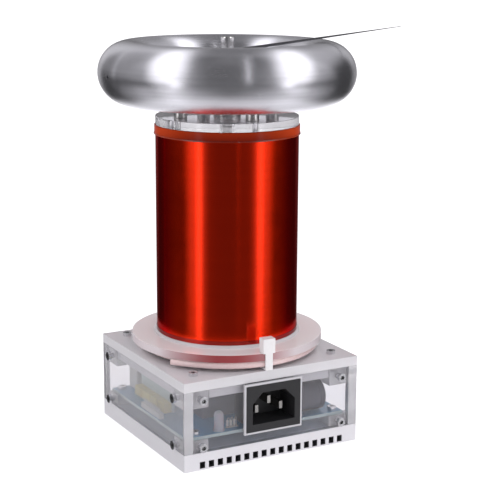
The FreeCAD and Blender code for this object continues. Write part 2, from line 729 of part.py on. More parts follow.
def board_parts():
    """What stands on the board: capacitors, the driver board, the filter, the header and the core."""
    start = "(inlet_x + inlet_body_long / 2 + bulk_capacitor_side)"
    long = f"({INNER_X} - block_side - bulk_capacitor_end_gap - {start})"
    lying_capacitor("bulk_capacitor_front", long, start,
                    f"-({INNER_Y} - bulk_capacitor_inset - {CAPACITOR_BORE} / 2)", "X",
                    f"{long} - capacitor_crimp_in")
    lying_capacitor("bulk_capacitor_rear", "rear_capacitor_long", REAR_CAPACITOR_X,
                    "-rear_capacitor_start", "Y", "capacitor_crimp_in")
    for step in range(int(size("tank_capacitor_count"))):
        keep(box(f"tank_block_{step + 1}", f"{TANK_RIGHT} - {TANK_LEFT}",
                 f"{TANK_PITCH} - tank_capacitor_gap",
                 f"{ROOM} - disc_nut_tall - tank_capacitor_headroom", TANK_LEFT,
                 f"{TANK_FRONT} + {step} * {TANK_PITCH}", BOARD_TOP),
             f"tank_capacitor_{step + 1}")
    keep(box("filter_block", "filter_long", "filter_wide", f"{ROOM} - filter_headroom",
             f"-({INNER_X} - block_side - filter_side_gap)", FILTER_FRONT, BOARD_TOP),
         "mains_filter")
    keep(box("driver_card", "board_thick", DRIVER_LONG, f"{ROOM} - driver_board_headroom",
             DRIVER_X, "-driver_board_front", BOARD_TOP), "driver_board")
    group("driver_capacitors", [
        box(f"driver_capacitor_{step + 1}", "driver_capacitor_wide",
            f"{DRIVER_PITCH} - driver_capacitor_gap", "driver_capacitor_tall",
            f"{DRIVER_X} - driver_capacitor_wide",
            f"-driver_board_front + {step} * {DRIVER_PITCH}", BOARD_TOP)
        for step in range(int(size("driver_capacitor_count")))])
    header_x = f"header_in - {INNER_X}"
    strip = middle_box("header_strip", "header_wide", "header_long", "header_tall", header_x,
                       "-header_front + header_long / 2", BOARD_TOP)
    pins = [middle_box(f"header_pin_{step + 1}", "header_pin", "header_pin", "header_pin_rise",
                       header_x, f"-header_front + ({step} + 1) * header_pitch",
                       f"{BOARD_TOP} + header_tall")
            for step in range(int(size("header_pin_count")))]
    keep(join("header_whole", strip, *pins), "pin_header")
    core = doc.addObject("Part::Torus", "ring_core_shape")
    bind(core, Radius1="ring_core_middle", Radius2="ring_core_section")
    move(core, f"{INNER_X} - ring_core_in", "ring_core_y",
         f"{BOARD_TOP} + seat_gap + ring_core_section")
    keep(core, "gate_core")


def power_transistors():
    """Four power transistors flat on the base plate, under the board."""
    pieces = []
    for front, side, sx, sy in CORNERS:
        name = f"transistor_{front}_{side}"
        x, y = f"{sx} * transistor_x", f"{sy} * transistor_y"
        body = middle_box(name + "_body", "transistor_wide", "transistor_long", "transistor_tall",
                          x, y, "base_thick")
        eye = rod(name + "_eye", "transistor_hole / 2", "transistor_tall + 2 * cut_overrun", x,
                  f"{y} + {sy} * (transistor_long / 2 - transistor_hole_in)",
                  "base_thick - cut_overrun")
        pieces.append(cut(name, body, eye))
    group("power_transistors", pieces)


def rear_controls():
    """The level control with its knob, and the signal socket, on the rear panel."""
    can = rod("pot_can", f"{POT_BORE} / 2", "pot_deep", "knob_x", f"{INNER_Y} - pot_deep", KNOB_RISE,
              axis="Y")
    bush = rod("pot_bush_rod", "pot_bush / 2", "panel_thick + pot_nut_tall", "knob_x", INNER_Y,
               KNOB_RISE, axis="Y")
    bore = rod("pot_shaft_bore", "knob_shaft / 2 + knob_shaft_gap",
               "knob_shaft_long - knob_gap + seat_gap + cut_overrun", "knob_x",
               "case_depth / 2 + pot_nut_tall + knob_gap - knob_shaft_long - seat_gap", KNOB_RISE,
               axis="Y")
    keep(cut("pot_bored", join("pot_blank", can, bush), bore), "level_control")
    socket_body = middle_box("jack_case", "jack_body_wide", "jack_body_long", "jack_body_tall",
                             "jack_x", f"{INNER_Y} - jack_body_long / 2",
                             f"{KNOB_RISE} - jack_body_tall / 2")
    sleeve = rod("jack_sleeve", "jack_bush / 2", "panel_thick + jack_bush_rise", "jack_x", INNER_Y,
                 KNOB_RISE, axis="Y")
    hole = rod("jack_bore_rod", "jack_bore / 2", "jack_bore_deep + cut_overrun", "jack_x",
               "case_depth / 2 + jack_bush_rise - jack_bore_deep", KNOB_RISE, axis="Y")
    keep(cut("jack_bored", join("jack_blank", socket_body, sleeve), hole), "signal_socket")
    pot_ring = cut("pot_nut", prism("pot_nut_blank", "pot_nut", "pot_nut_tall", "knob_x",
                                    "case_depth / 2", KNOB_RISE, axis="Y"), bush)
    jack_ring = cut("jack_nut", rod("jack_nut_blank", "jack_nut / 2", "jack_nut_tall", "jack_x",
                                    "case_depth / 2", KNOB_RISE, axis="Y"), sleeve)
    group("panel_nuts", [pot_ring, jack_ring])


def level_knob():
    """The fluted knob with its skirt and shaft, turned about its own axis and laid along +Y."""
    top = "knob_shaft_long + knob_tall"
    skirt = "knob_shaft_long + knob_skirt_tall"
    body = turned("knob_body", [
        ("0", "0"), ("knob_shaft / 2", "0"), ("knob_shaft / 2", "knob_shaft_long"),
        ("knob_skirt / 2", "knob_shaft_long"), ("knob_skirt / 2", skirt), ("knob_bore / 2", skirt),
        ("knob_bore / 2", f"{top} - knob_flute / 2"), ("knob_bore / 2 - knob_flute / 2", top),
        ("0", top)])
    groove = sketch_on(body, "XY_Plane", "knob_flute_outline")
    groove.setExpression("AttachmentOffset.Base.z", sized(skirt))
    groove.addGeometry(Part.Circle(V(), V(0, 0, 1), 1), False)
    hold(groove, "Radius", 0, formula="knob_flute")
    hold(groove, "DistanceX", -1, 1, 0, 3, formula="knob_bore / 2 + knob_flute / 2")
    groove.addConstraint(Sketcher.Constraint("PointOnObject", 0, 3, -1))
    flute = body.newObject("PartDesign::Pocket", "knob_flute_cut")
    flute.Profile = groove
    flute.Reversed = True
    bind(flute, Length="knob_tall")
    doc.recompute()
    ring = body.newObject("PartDesign::PolarPattern", "knob_flutes")
    ring.Originals = [flute]
    ring.Axis = (groove, ["N_Axis"])
    ring.Angle = 360
    bind(ring, Occurrences="knob_flute_count")
    body.Tip = ring
    turn(body, V(1, 0, 0), -90)
    move(body, "knob_x", "case_depth / 2 + pot_nut_tall + knob_gap - knob_shaft_long", KNOB_RISE)
    keep(body, "level_knob")


def wire_radius_at(turned_by, half):
    """Distance of the wire's middle from the axis, a given angle past its start."""
    shift = size("wire_turn_pitch") / 4
    arc = size("wire_start_radius") - shift - half * size("wire_turn_pitch") / 2
    centre = shift if half % 2 == 0 else -shift
    return arc + centre * math.cos(math.radians(turned_by))


def tie_leg(azimuth):
    """Radius of the middle of a tie's inner leg, between two turns of the primary."""
    whole = (size(azimuth) - size("wire_start_azimuth")) % 360
    half = int(whole // 180)
    outer = wire_radius_at(whole, half)
    inner = wire_radius_at(whole, half + 2)
    return (outer + inner) / 2


def cable_tie(name, azimuth):
    """A tie round the disc's rim: a strap over and under the disc, and its head on top."""
    leg = add_size(name + "_leg", tie_leg(azimuth))
    outer = "disc_radius + tie_gap + tie_thick"
    under, over = "case_height + tie_gap", f"{DISC_TOP} + tie_thick"
    strap = box(name + "_strap", f"{outer} - {leg} + tie_thick / 2", "tie_wide",
                f"{over} - ({under})", f"{leg} - tie_thick / 2", "-tie_wide / 2", under)
    inside = box(name + "_inside", f"{outer} - {leg} - 3 * tie_thick / 2",
                 "tie_wide + 2 * cut_overrun", f"{over} - ({under}) - 2 * tie_thick",
                 f"{leg} + tie_thick / 2", "-tie_wide / 2 - cut_overrun", f"{under} + tie_thick")
    head = box(name + "_head", "tie_head_deep", "tie_head_wide", "tie_head_tall",
               f"{outer} - tie_head_deep", "-tie_head_wide / 2", f"{over} - tie_thick")
    slot = box(name + "_slot", "tie_thick", "tie_wide", "tie_thick",
               f"{outer} - tie_head_deep / 2 - tie_thick / 2", "-tie_wide / 2",
               f"{over} + tie_head_tall - 2 * tie_thick")
    whole = cut(name + "_cut", join(name + "_blank", cut(name + "_loop", strap, inside), head), slot)
    turn(whole, V(0, 0, 1), 1)
    whole.setExpression("Placement.Rotation.Angle", sized(azimuth))
    keep(whole, name)
    deep = "disc_thick + 2 * cut_overrun"
    base = f"{DISC_BASE} - cut_overrun"
    middle = box(name + "_slot_middle", "tie_thick + 2 * tie_gap", "tie_wide", deep,
                 f"{leg} - tie_thick / 2 - tie_gap", "-tie_wide / 2", base)
    ends = [rod(f"{name}_slot_end_{step}", "tie_thick / 2 + tie_gap", deep, leg,
                f"{side} * tie_wide / 2", base) for step, side in ((1, "-1"), (2, "1"))]
    opening = join(name + "_opening", middle, *ends)
    turn(opening, V(0, 0, 1), 1)
    opening.setExpression("Placement.Rotation.Angle", sized(azimuth))
    return opening


def flange_disc():
    """The clear disc over the primary, its spacers, nuts and ties, and the screws of both discs."""
    slots = [cable_tie("cable_tie_front", "tie_front_azimuth"),
             cable_tie("cable_tie_rear", "tie_rear_azimuth")]
    blank = rod("disc_blank", "disc_radius", "disc_thick", "0", "0", DISC_BASE)
    holes = disc_screw_holes("disc", f"{DISC_BASE} - cut_overrun", "disc_thick + 2 * cut_overrun")
    keep(cut("disc_holed", blank, *slots, *holes), "flange_disc")
    spacers, nuts, screws = [], [], []
    for front, side, sx, sy in CORNERS:
        x, y = f"{sx} * {DISC_SCREW_PLACE}", f"{sy} * {DISC_SCREW_PLACE}"
        tube = rod(f"spacer_{front}_{side}_tube", "spacer_bore / 2", "disc_rise", x, y, "case_height")
        hole = rod(f"spacer_{front}_{side}_hole", DISC_SCREW_HOLE, "disc_rise + 2 * cut_overrun",
                   x, y, "case_height - cut_overrun")
        spacers.append(cut(f"spacer_{front}_{side}", tube, hole))
        hexagon = prism(f"nut_{front}_{side}_hexagon", "disc_nut", "disc_nut_tall", x, y,
                        f"{DECK_BASE} - disc_nut_tall")
        thread = rod(f"nut_{front}_{side}_thread", "(disc_screw_bore + screw_gap) / 2",
                     "disc_nut_tall + 2 * cut_overrun", x, y,
                     f"{DECK_BASE} - disc_nut_tall - cut_overrun")
        nuts.append(cut(f"nut_{front}_{side}", hexagon, thread))
        screws.append(screw(f"disc_screw_{front}_{side}", "disc", "top", x, y, DISC_TOP))
    for side, sx, sy in PILLARS:
        x, y = f"{sx} * pillar_circle", f"{sy} * pillar_circle"
        screws.append(screw(f"pillar_screw_{side}", "case", "top", x, y, PLATE_TOP))
        screws.append(screw(f"pillar_foot_screw_{side}", "case", "under", x, y, TUBE_TOP))
    group("disc_spacers", spacers)
    group("disc_nuts", nuts)
    group("disc_screws", screws)


def least_gap(route, wire):
    """The least room between the surfaces of two turns, measured on points along the wire."""
    spots = route.discretize(Number=int(size("wire_point_count")))
    apart = len(spots) // int(size("wire_half_turns"))
    nearest = min(spots[first].distanceToPoint(spots[second])
                  for first in range(len(spots)) for second in range(first + apart, len(spots)))
    return nearest - 2 * wire


def primary_winding():
    """The flat primary: one thick wire in half-turn arcs that draw in by half a pitch each."""
    wire = size("wire_radius")
    height = size("case_height") + size("disc_rise") - size("wire_gap") - wire
    step = size("wire_turn_pitch") / 2
    start = math.radians(size("wire_start_azimuth"))
    out = V(math.cos(start), math.sin(start), 0)
    on = V(-math.sin(start), math.cos(start), 0)
    lift = V(0, 0, height)
    centre = out * (step / 2)
    radius = size("wire_start_radius") - step / 2
    way = 1
    here = lift + centre + out * radius
    tail = here - on * size("wire_lead")
    path = [Part.LineSegment(tail, here).toShape()]
    for half in range(int(size("wire_half_turns"))):
        there = lift + centre - out * (way * radius)
        crown = lift + centre + on * (way * radius)
        path.append(Part.Arc(here, crown, there).toShape())
        centre = centre - out * (way * step)
        radius -= step
        way = -way
        here = there
    stub = here + on * (way * 2 * wire)
    path.append(Part.LineSegment(here, stub).toShape())
    route = Part.Wire(path)
    section = Part.Wire([Part.Circle(tail, on, wire).toShape()])
    tube = route.makePipeShell([section], True, False)
    print("primary wire length", round(route.Length, 2), "volume share",
          round(tube.Volume / (route.Length * math.pi * wire ** 2), 4))
    print("primary wire least gap to itself", round(least_gap(route, wire), 3))
    item = doc.addObject("Part::Feature", "primary_wire")
    item.Shape = tube
    keep(item, "primary_winding")


def secondary_coil():
    """The clear tube, its close-wound single layer, the lacquered band and the clear end disc."""
    tube = rod("tube_outer", "tube_radius", "tube_long", "0", "0", DISC_TOP)
    bore = rod("tube_bore", "tube_radius - tube_wall", "tube_long + 2 * cut_overrun", "0", "0",
               f"{DISC_TOP} - cut_overrun")
    keep(cut("tube_whole", tube, bore), "secondary_tube")
    inner = "tube_radius + winding_gap"
    outer = "tube_radius + winding_gap + winding_thick"
    low, high = f"{DISC_TOP} + winding_foot", f"{TUBE_TOP} - band_tall"
    keep(turned("winding_body", [(inner, low), (outer, low), (outer, high), (inner, high)]),
         "secondary_winding")
    skin = "tube_radius + winding_gap + band_thick"
    keep(turned("band_body", [
        (inner, high), (f"{skin} - band_round", high), (skin, f"{high} + band_round"),
        (skin, f"{TUBE_TOP} - band_round / 2"), (f"{skin} - band_round / 2", TUBE_TOP),
        (inner, TUBE_TOP)]), "winding_band")
    blank = rod("end_disc_blank", "end_disc_radius", "end_disc_thick", "0", "0", TUBE_TOP)
    hole = rod("end_disc_hole", "stud_bore / 2 + stud_gap", "end_disc_thick + 2 * cut_overrun",
               "0", "0", f"{TUBE_TOP} - cut_overrun")
    screw_holes = pillar_holes("end_disc", f"{TUBE_TOP} - cut_overrun",
                               "end_disc_thick + 2 * cut_overrun")
    keep(cut("end_disc_holed", blank, hole, *screw_holes), "end_disc")


def top_load():
    """The hub and its pillars, the stud, the hollow toroid with its plate, and the clamp washer."""
    fit = "stud_bore / 2 + stud_gap"
    foot, head = f"{TUBE_TOP} + end_disc_thick", PLATE_BASE
    hub = turned("hub_body", [
        (fit, foot), ("hub_radius", foot), ("hub_radius", f"{foot} + hub_foot_tall"),
        ("hub_neck_radius", f"{foot} + hub_neck_start"), ("hub_neck_radius", head), (fit, head)])
    pillars = []
    for side, sx, sy in PILLARS:
        x, y = f"{sx} * pillar_circle", f"{sy} * pillar_circle"
        post = rod(f"pillar_{side}_post", "pillar_radius", "hub_tall", x, y, foot)
        bore = rod(f"pillar_{side}_bore", THREAD_HOLE, "hub_tall + 2 * cut_overrun", x, y,
                   f"{foot} - cut_overrun")
        pillars.append(cut(f"pillar_{side}", post, bore))
    group("toroid_hub", [hub, *pillars])
    bolt_head = prism("stud_head_hexagon", "stud_head", "stud_head_tall", "0", "0",
                      f"{TUBE_TOP} - stud_head_tall")
    shank = rod("stud_shank", "stud_bore / 2", f"{PLATE_TOP} + stud_above_plate - {TUBE_TOP}",
                "0", "0", TUBE_TOP)
    keep(join("stud_whole", bolt_head, shank), "centre_stud")
    skin = doc.addObject("Part::Torus", "toroid_skin")
    bind(skin, Radius1="toroid_radius", Radius2="toroid_tube")
    move(skin, z=TOROID_RISE)
    hollow = doc.addObject("Part::Torus", "toroid_hollow")
    bind(hollow, Radius1="toroid_radius", Radius2="toroid_tube - toroid_wall")
    move(hollow, z=TOROID_RISE)
    plate = rod("toroid_plate", "toroid_radius - toroid_tube + toroid_wall / 2",
                "toroid_plate_thick", "0", "0", PLATE_BASE)
    eye = rod("toroid_eye", fit, "toroid_plate_thick + 2 * cut_overrun", "0", "0",
              f"{PLATE_BASE} - cut_overrun")
    vent = rod("toroid_vent_hole", "toroid_vent / 2", "toroid_tube",
               "-toroid_radius - toroid_tube - cut_overrun", "0", TOROID_RISE, axis="X")
    screw_holes = pillar_holes("toroid", f"{PLATE_BASE} - cut_overrun",
                               "toroid_plate_thick + 2 * cut_overrun")
    keep(cut("toroid_cut", join("toroid_blank", skin, plate), hollow, eye, vent, *screw_holes),
         "toroid")
    washer = rod("washer_blank", "washer_radius", "washer_thick", "0", "0", PLATE_TOP)
    washer_eye = rod("washer_eye", fit, "washer_thick + 2 * cut_overrun", "0", "0",
                     f"{PLATE_TOP} - cut_overrun")
    keep(cut("washer_holed", washer, washer_eye), "clamp_washer")


def laid(item, start):
    """Lay an upright piece along the needle's line, which rises from the axis, from a given start."""
    turn(item, V(0, 1, 0), 1)
    item.setExpression("Placement.Rotation.Angle", sized("90 - needle_tilt"))
    return move(item, x=f"({start}) * cos(needle_tilt)",
                z=f"{PLATE_TOP} + needle_above_plate + ({start}) * sin(needle_tilt)")


def swung(name, item):
    """Swing a piece of the discharge terminal round to the needle's rest direction."""
    whole = doc.addObject("Part::Compound", name + "_swung")
    whole.Links = [item]
    turn(whole, V(0, 0, 1), 1)
    whole.setExpression("Placement.Rotation.Angle", sized("needle_azimuth"))
    return keep(whole, name)


def discharge_terminal():
    """The post that screws down on the stud, and the needle in its side."""
    fit = "stud_bore / 2 + stud_gap / 2"
    foot = f"{PLATE_TOP} + washer_thick + post_lift"
    neck = f"{foot} + post_foot_tall"
    roof = f"{PLATE_TOP} + stud_above_plate + post_lift"
    post = turned("post_body", [
        (fit, foot), ("post_foot_radius", foot), ("post_foot_radius", neck), ("post_radius", neck),
        ("post_radius", f"{POST_TOP} - post_chamfer"), ("post_radius - post_chamfer", POST_TOP),
        ("0", POST_TOP), ("0", roof), (fit, roof)])
    seat = rod("needle_seat", "needle_radius + needle_gap", "post_radius + cut_overrun")
    swung("needle_post", cut("post_cross_drilled", post, laid(seat, "needle_root - needle_gap")))
    stem = rod("needle_stem", "needle_radius", "needle_stem_long")
    taper = doc.addObject("Part::Cone", "needle_taper")
    bind(taper, Radius1="needle_radius", Radius2="needle_tip_radius",
         Height="needle_long - needle_stem_long")
    move(taper, z="needle_stem_long")
    swung("discharge_needle", laid(join("needle_whole", stem, taper), "needle_root"))


base_plate()
case_panels()
lid_and_deck()
corner_blocks()
case_screws()
mains_inlet()
circuit_board()
board_parts()
power_transistors()
rear_controls()
level_knob()
flange_disc()
primary_winding()
secondary_coil()
top_load()
discharge_terminal()
doc.recompute()

for item in doc.Objects:
    bad = [state for state in item.State if state in ("Invalid", "Error")]
    if bad:
        raise RuntimeError(f"{item.Label} failed to recompute: {bad}")
os.makedirs("parts", exist_ok=True)
for item in made:
    shape = item.Shape
    if shape.isNull() or not shape.isValid() or not shape.Solids:
        raise RuntimeError(f"{item.Label} has no valid solid")
    shape.exportStep(f"parts/{item.Label}.step")
    print(f"{item.Label}: {len(shape.Solids)} solids, {round(shape.Volume, 1)} cubic mm")
print(len(made), "parts")
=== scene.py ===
"""Looks of the desktop resonant transformer: materials, small board parts, studio and camera."""

import json
import math

import bmesh
import bpy
from mathutils import Matrix, Vector


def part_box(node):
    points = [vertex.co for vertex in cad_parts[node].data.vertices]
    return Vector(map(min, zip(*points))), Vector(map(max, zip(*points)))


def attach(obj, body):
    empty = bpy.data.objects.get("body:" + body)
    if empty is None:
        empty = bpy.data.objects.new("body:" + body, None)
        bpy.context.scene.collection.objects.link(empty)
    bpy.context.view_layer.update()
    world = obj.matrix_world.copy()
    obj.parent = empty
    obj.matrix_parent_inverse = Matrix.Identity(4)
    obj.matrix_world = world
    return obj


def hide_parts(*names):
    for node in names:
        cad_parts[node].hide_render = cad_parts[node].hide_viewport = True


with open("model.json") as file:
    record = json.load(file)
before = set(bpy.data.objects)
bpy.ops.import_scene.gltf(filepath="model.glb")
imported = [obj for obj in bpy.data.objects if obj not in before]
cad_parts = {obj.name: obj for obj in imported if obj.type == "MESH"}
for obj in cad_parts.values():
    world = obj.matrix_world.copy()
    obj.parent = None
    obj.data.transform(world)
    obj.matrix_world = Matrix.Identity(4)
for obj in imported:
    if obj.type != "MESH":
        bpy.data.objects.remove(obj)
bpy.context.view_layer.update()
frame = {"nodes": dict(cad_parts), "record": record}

MM = 0.001
NODES = frame["nodes"]
SLOTS = {row["node"]: row["material_slot"] for row in frame["record"]["subparts"]}
BODIES = {node: body
          for body, nodes in frame["record"]["behaviour"]["bodies"].items() for node in nodes}

# Camera of the photograph, in metres and degrees
CAMERA_PLACE = Vector((-0.3274, -0.6165, 0.2542))
CAMERA_AZIMUTH = -28.96
CAMERA_PITCH = 12.66
CAMERA_ROLL = 0.32
CAMERA_LENS = 98.37
SENSOR = 36.0

# Surfaces: one turn of the winding to the next, how far painted shade reaches into recesses, and
# how far into the base plate the painted shade of its channels starts and turns full dark
TURN_PITCH = 0.11 * MM
RECESS_REACH = 1.2 * MM
CHANNEL_SHADE_STARTS, CHANNEL_SHADE_FULL = 0.05 * MM, 0.6 * MM

# Broken edges by kind of piece, the gap between sheets that share a face, and the angle of an edge
SHEET_EDGE = 0.22 * MM
MOULDED_EDGE = 0.6 * MM
FINE_EDGE = 0.15 * MM
SHEET_GAP = 0.03 * MM
EDGE_ANGLE = math.radians(30)
PIECE_EDGE_ANGLE = math.radians(35)
FACE_ON = 0.7
CUT_SHEETS = ("base_plate", "front_panel", "rear_panel", "left_panel", "right_panel", "lid_plate",
              "deck_plate", "flange_disc", "end_disc")
MOULDED = ("mains_filter", "driver_capacitors", "cable_tie_front", "cable_tie_rear",
           "power_transistors", "lid_screws", "front_screws", "rear_screws", "left_screws",
           "right_screws")
FINE = ("inlet_housing", "inlet_trim", "inlet_pins", "driver_board", "panel_nuts", "disc_nuts",
        "clamp_washer", "toroid_hub")

# Coil: the dark coat on its lowest turns, the rolled lip of the lacquer band, the bead of glue
COIL_STEPS = 128
COAT_LIFT, COAT_TALL, COAT_THICK = 0.5 * MM, 3.2 * MM, 0.12 * MM
LIP_INSET, LIP_LIFT, LIP_WIDE, LIP_TALL = 0.1 * MM, 0.2 * MM, 0.4 * MM, 0.8 * MM
GLUE_INSET, GLUE_WIDE, GLUE_TALL, GLUE_HOLLOW = 0.3 * MM, 1.7 * MM, 1.3 * MM, 1.5

# Board: the lamp's leads, the resistors that stand beside it, and the solder. Profiles are radius
# and height, and the resistors' lead is how far aside and how high it goes, all in millimetres
LEAD_RADIUS = 0.2 * MM
LEAD_BELOW = 1.8 * MM
LAMP_LEAD_ASIDE, LAMP_LEAD_START = 1.27 * MM, 1.0 * MM
RESISTORS_ASIDE = (5.6 * MM, 7.6 * MM, 9.6 * MM)
RESISTORS_BEHIND = 1.5 * MM
RESISTOR_FOOT = 1.2 * MM
RESISTOR_BODY = ((0.2, 0.8), (0.6, 1.0), (0.75, 1.4), (0.6, 1.9),
                 (0.6, 2.9), (0.75, 3.4), (0.6, 3.8), (0.2, 4.0))
RESISTOR_LEAD = ((0.0, 3.9), (0.2, 4.7), (0.7, 4.9), (1.1, 4.4), (1.2, -1.8))
SOLDER_CONE = ((0.95, 0.0), (0.75, 0.25), (0.42, 0.6), (0.3, 1.0))
SOLDER_SINK = 0.02 * MM

# Lacquer of the band: its dark colour, and the lighter one it turns to towards its top and, as
# painted light, towards its outline
LACQUER_DARK = (0.13, 0.004, 0.0)
LACQUER_LIGHT = (0.50, 0.045, 0.004)

# Lamps placed by where they shine on the top load, in degrees round it from the camera and up its
# section. Rounded ones: middle round, middle up, half width, half height, soft edge and strength
BLOOMS = (
    (-27.0, 29.0, 9.0, 36.0, 0.45, 1.25),
    (32.0, 28.0, 9.2, 38.0, 0.45, 1.25),
    (-28.0, 14.0, 15.0, 50.0, 0.45, 0.20),
    (31.0, 16.0, 15.0, 52.0, 0.45, 0.20),
    (-28.0, -20.0, 21.0, 20.0, 0.5, 0.25),
    (30.0, -20.0, 20.0, 20.0, 0.5, 0.25),
)
# Straight ones: from, to and soft edge round, from, to and soft edge up, and strength
LOAD_COLUMNS = (
    (-56.0, -34.0, 3.0, -34.0, 34.0, 8.0, 0.08),
    (36.0, 54.0, 4.0, -30.0, 40.0, 8.0, 0.08),
    (-59.5, -57.5, 1.0, -10.0, 50.0, 12.0, 0.3),
    (9.2, 9.8, 0.6, 2.0, 52.0, 8.0, 2.6),
    (-29.0, -19.0, 6.0, -36.0, 0.0, 6.0, 0.35),
    (24.0, 36.0, 6.0, -36.0, -9.0, 4.0, 0.20),
)
# The ones that only the upright coil shows: from, to and soft edge round, and strength
COIL_COLUMNS = (
    (-31.5, -17.0, 4.5, 0.62),
    (-24.0, -20.0, 3.0, 2.2),
    (22.0, 36.5, 4.5, 0.66),
    (25.5, 29.5, 3.0, 2.2),
)
# Where the coil's lamps are, and where the top load's are off so that the case stays clear of
# them: lowest, highest and soft edge up
COIL_RISE = (-6.3, -0.8, 0.4)
LOAD_GAP = (-9.5, -0.8, 0.4)
# The pale floor mirrored low on the top load: its edge sinks to the middle by the square of the
# degrees round, at most so far, from and to its soft edge, and strength
FLOOR_SAG, FLOOR_SAG_MOST = 0.0065, 18.0
FLOOR_STARTS, FLOOR_FULL, FLOOR_STRENGTH = -17.0, -35.0, 0.76
# Each other lamp: side, from, to and soft edge in degrees round, bottom, top and soft edge in
# degrees above the horizon, and strength
SOFT_BOXES = (
    ("both", -90, 45, 22, -52, 100, 12, 0.125),
    ("both", -90, 200, 10, 62, 120, 8, 0.06),
    ("both", 164, 200, 8, -54, -6, 8, 0.60),
    ("both", 120, 200, 12, 26, 120, 8, 0.16),
    ("both", 150, 200, 10, 4, 26, 5, 0.22),
    ("left", -168, -146, 7, -12, 56, 8, 0.35),
    ("right", 146, 168, 7, -12, 56, 8, 0.22),
    ("left", -150, -84, 12, 0, 70, 8, 0.18),
    ("right", 84, 110, 8, 0, 50, 8, 0.2),
    ("right", 100, 150, 8, 20, 70, 8, 0.25),
    ("both", 84, 200, 10, -50, 50, 10, 0.035),
)
# The camera's angle to the top load, which tilts the degrees up its section
TOP_LOAD_PITCH = 4.8
# Light from all sides: in what shines, in what doesn't, more from the right, and the backdrop
SURROUND = 0.02
PALE_LIGHT = 0.95
SIDE_LIGHT = 0.12
WHITE_BACKDROP = 1.06
SKY_COLOUR = (0.98, 0.965, 1.0, 1.0)
FLOOR_REACH = 40.0
FLOOR_GLOW = 0.42


class Tree:
    """The nodes of a material or world under construction."""

    def __init__(self, owner):
        owner.use_nodes = True
        self.tree = owner.node_tree
        self.tree.nodes.clear()

    def node(self, kind, **settings):
        made = self.tree.nodes.new(kind)
        for name, value in settings.items():
            setattr(made, name, value)
        return made

    def link(self, source, target):
        self.tree.links.new(source, target)

    def feed(self, sockets, values):
        """Set each socket to its number, or link it to its output."""
        for socket, value in zip(sockets, values):
            if isinstance(value, (int, float)):
                socket.default_value = value
            else:
                self.link(value, socket)

    def math(self, operation, first, second=0.0):
        made = self.node("ShaderNodeMath", operation=operation)
        self.feed(made.inputs, (first, second))
        return made.outputs[0]

    def length(self, first, second):
        """The length of two coordinates at right angles."""
        return self.math("SQRT", self.math("ADD", self.math("MULTIPLY", first, first),
                                           self.math("MULTIPLY", second, second)))

    def split(self, vector):
        """The three coordinates of a vector, each its own output."""
        made = self.node("ShaderNodeSeparateXYZ")
        self.link(vector, made.inputs[0])
        return made.outputs


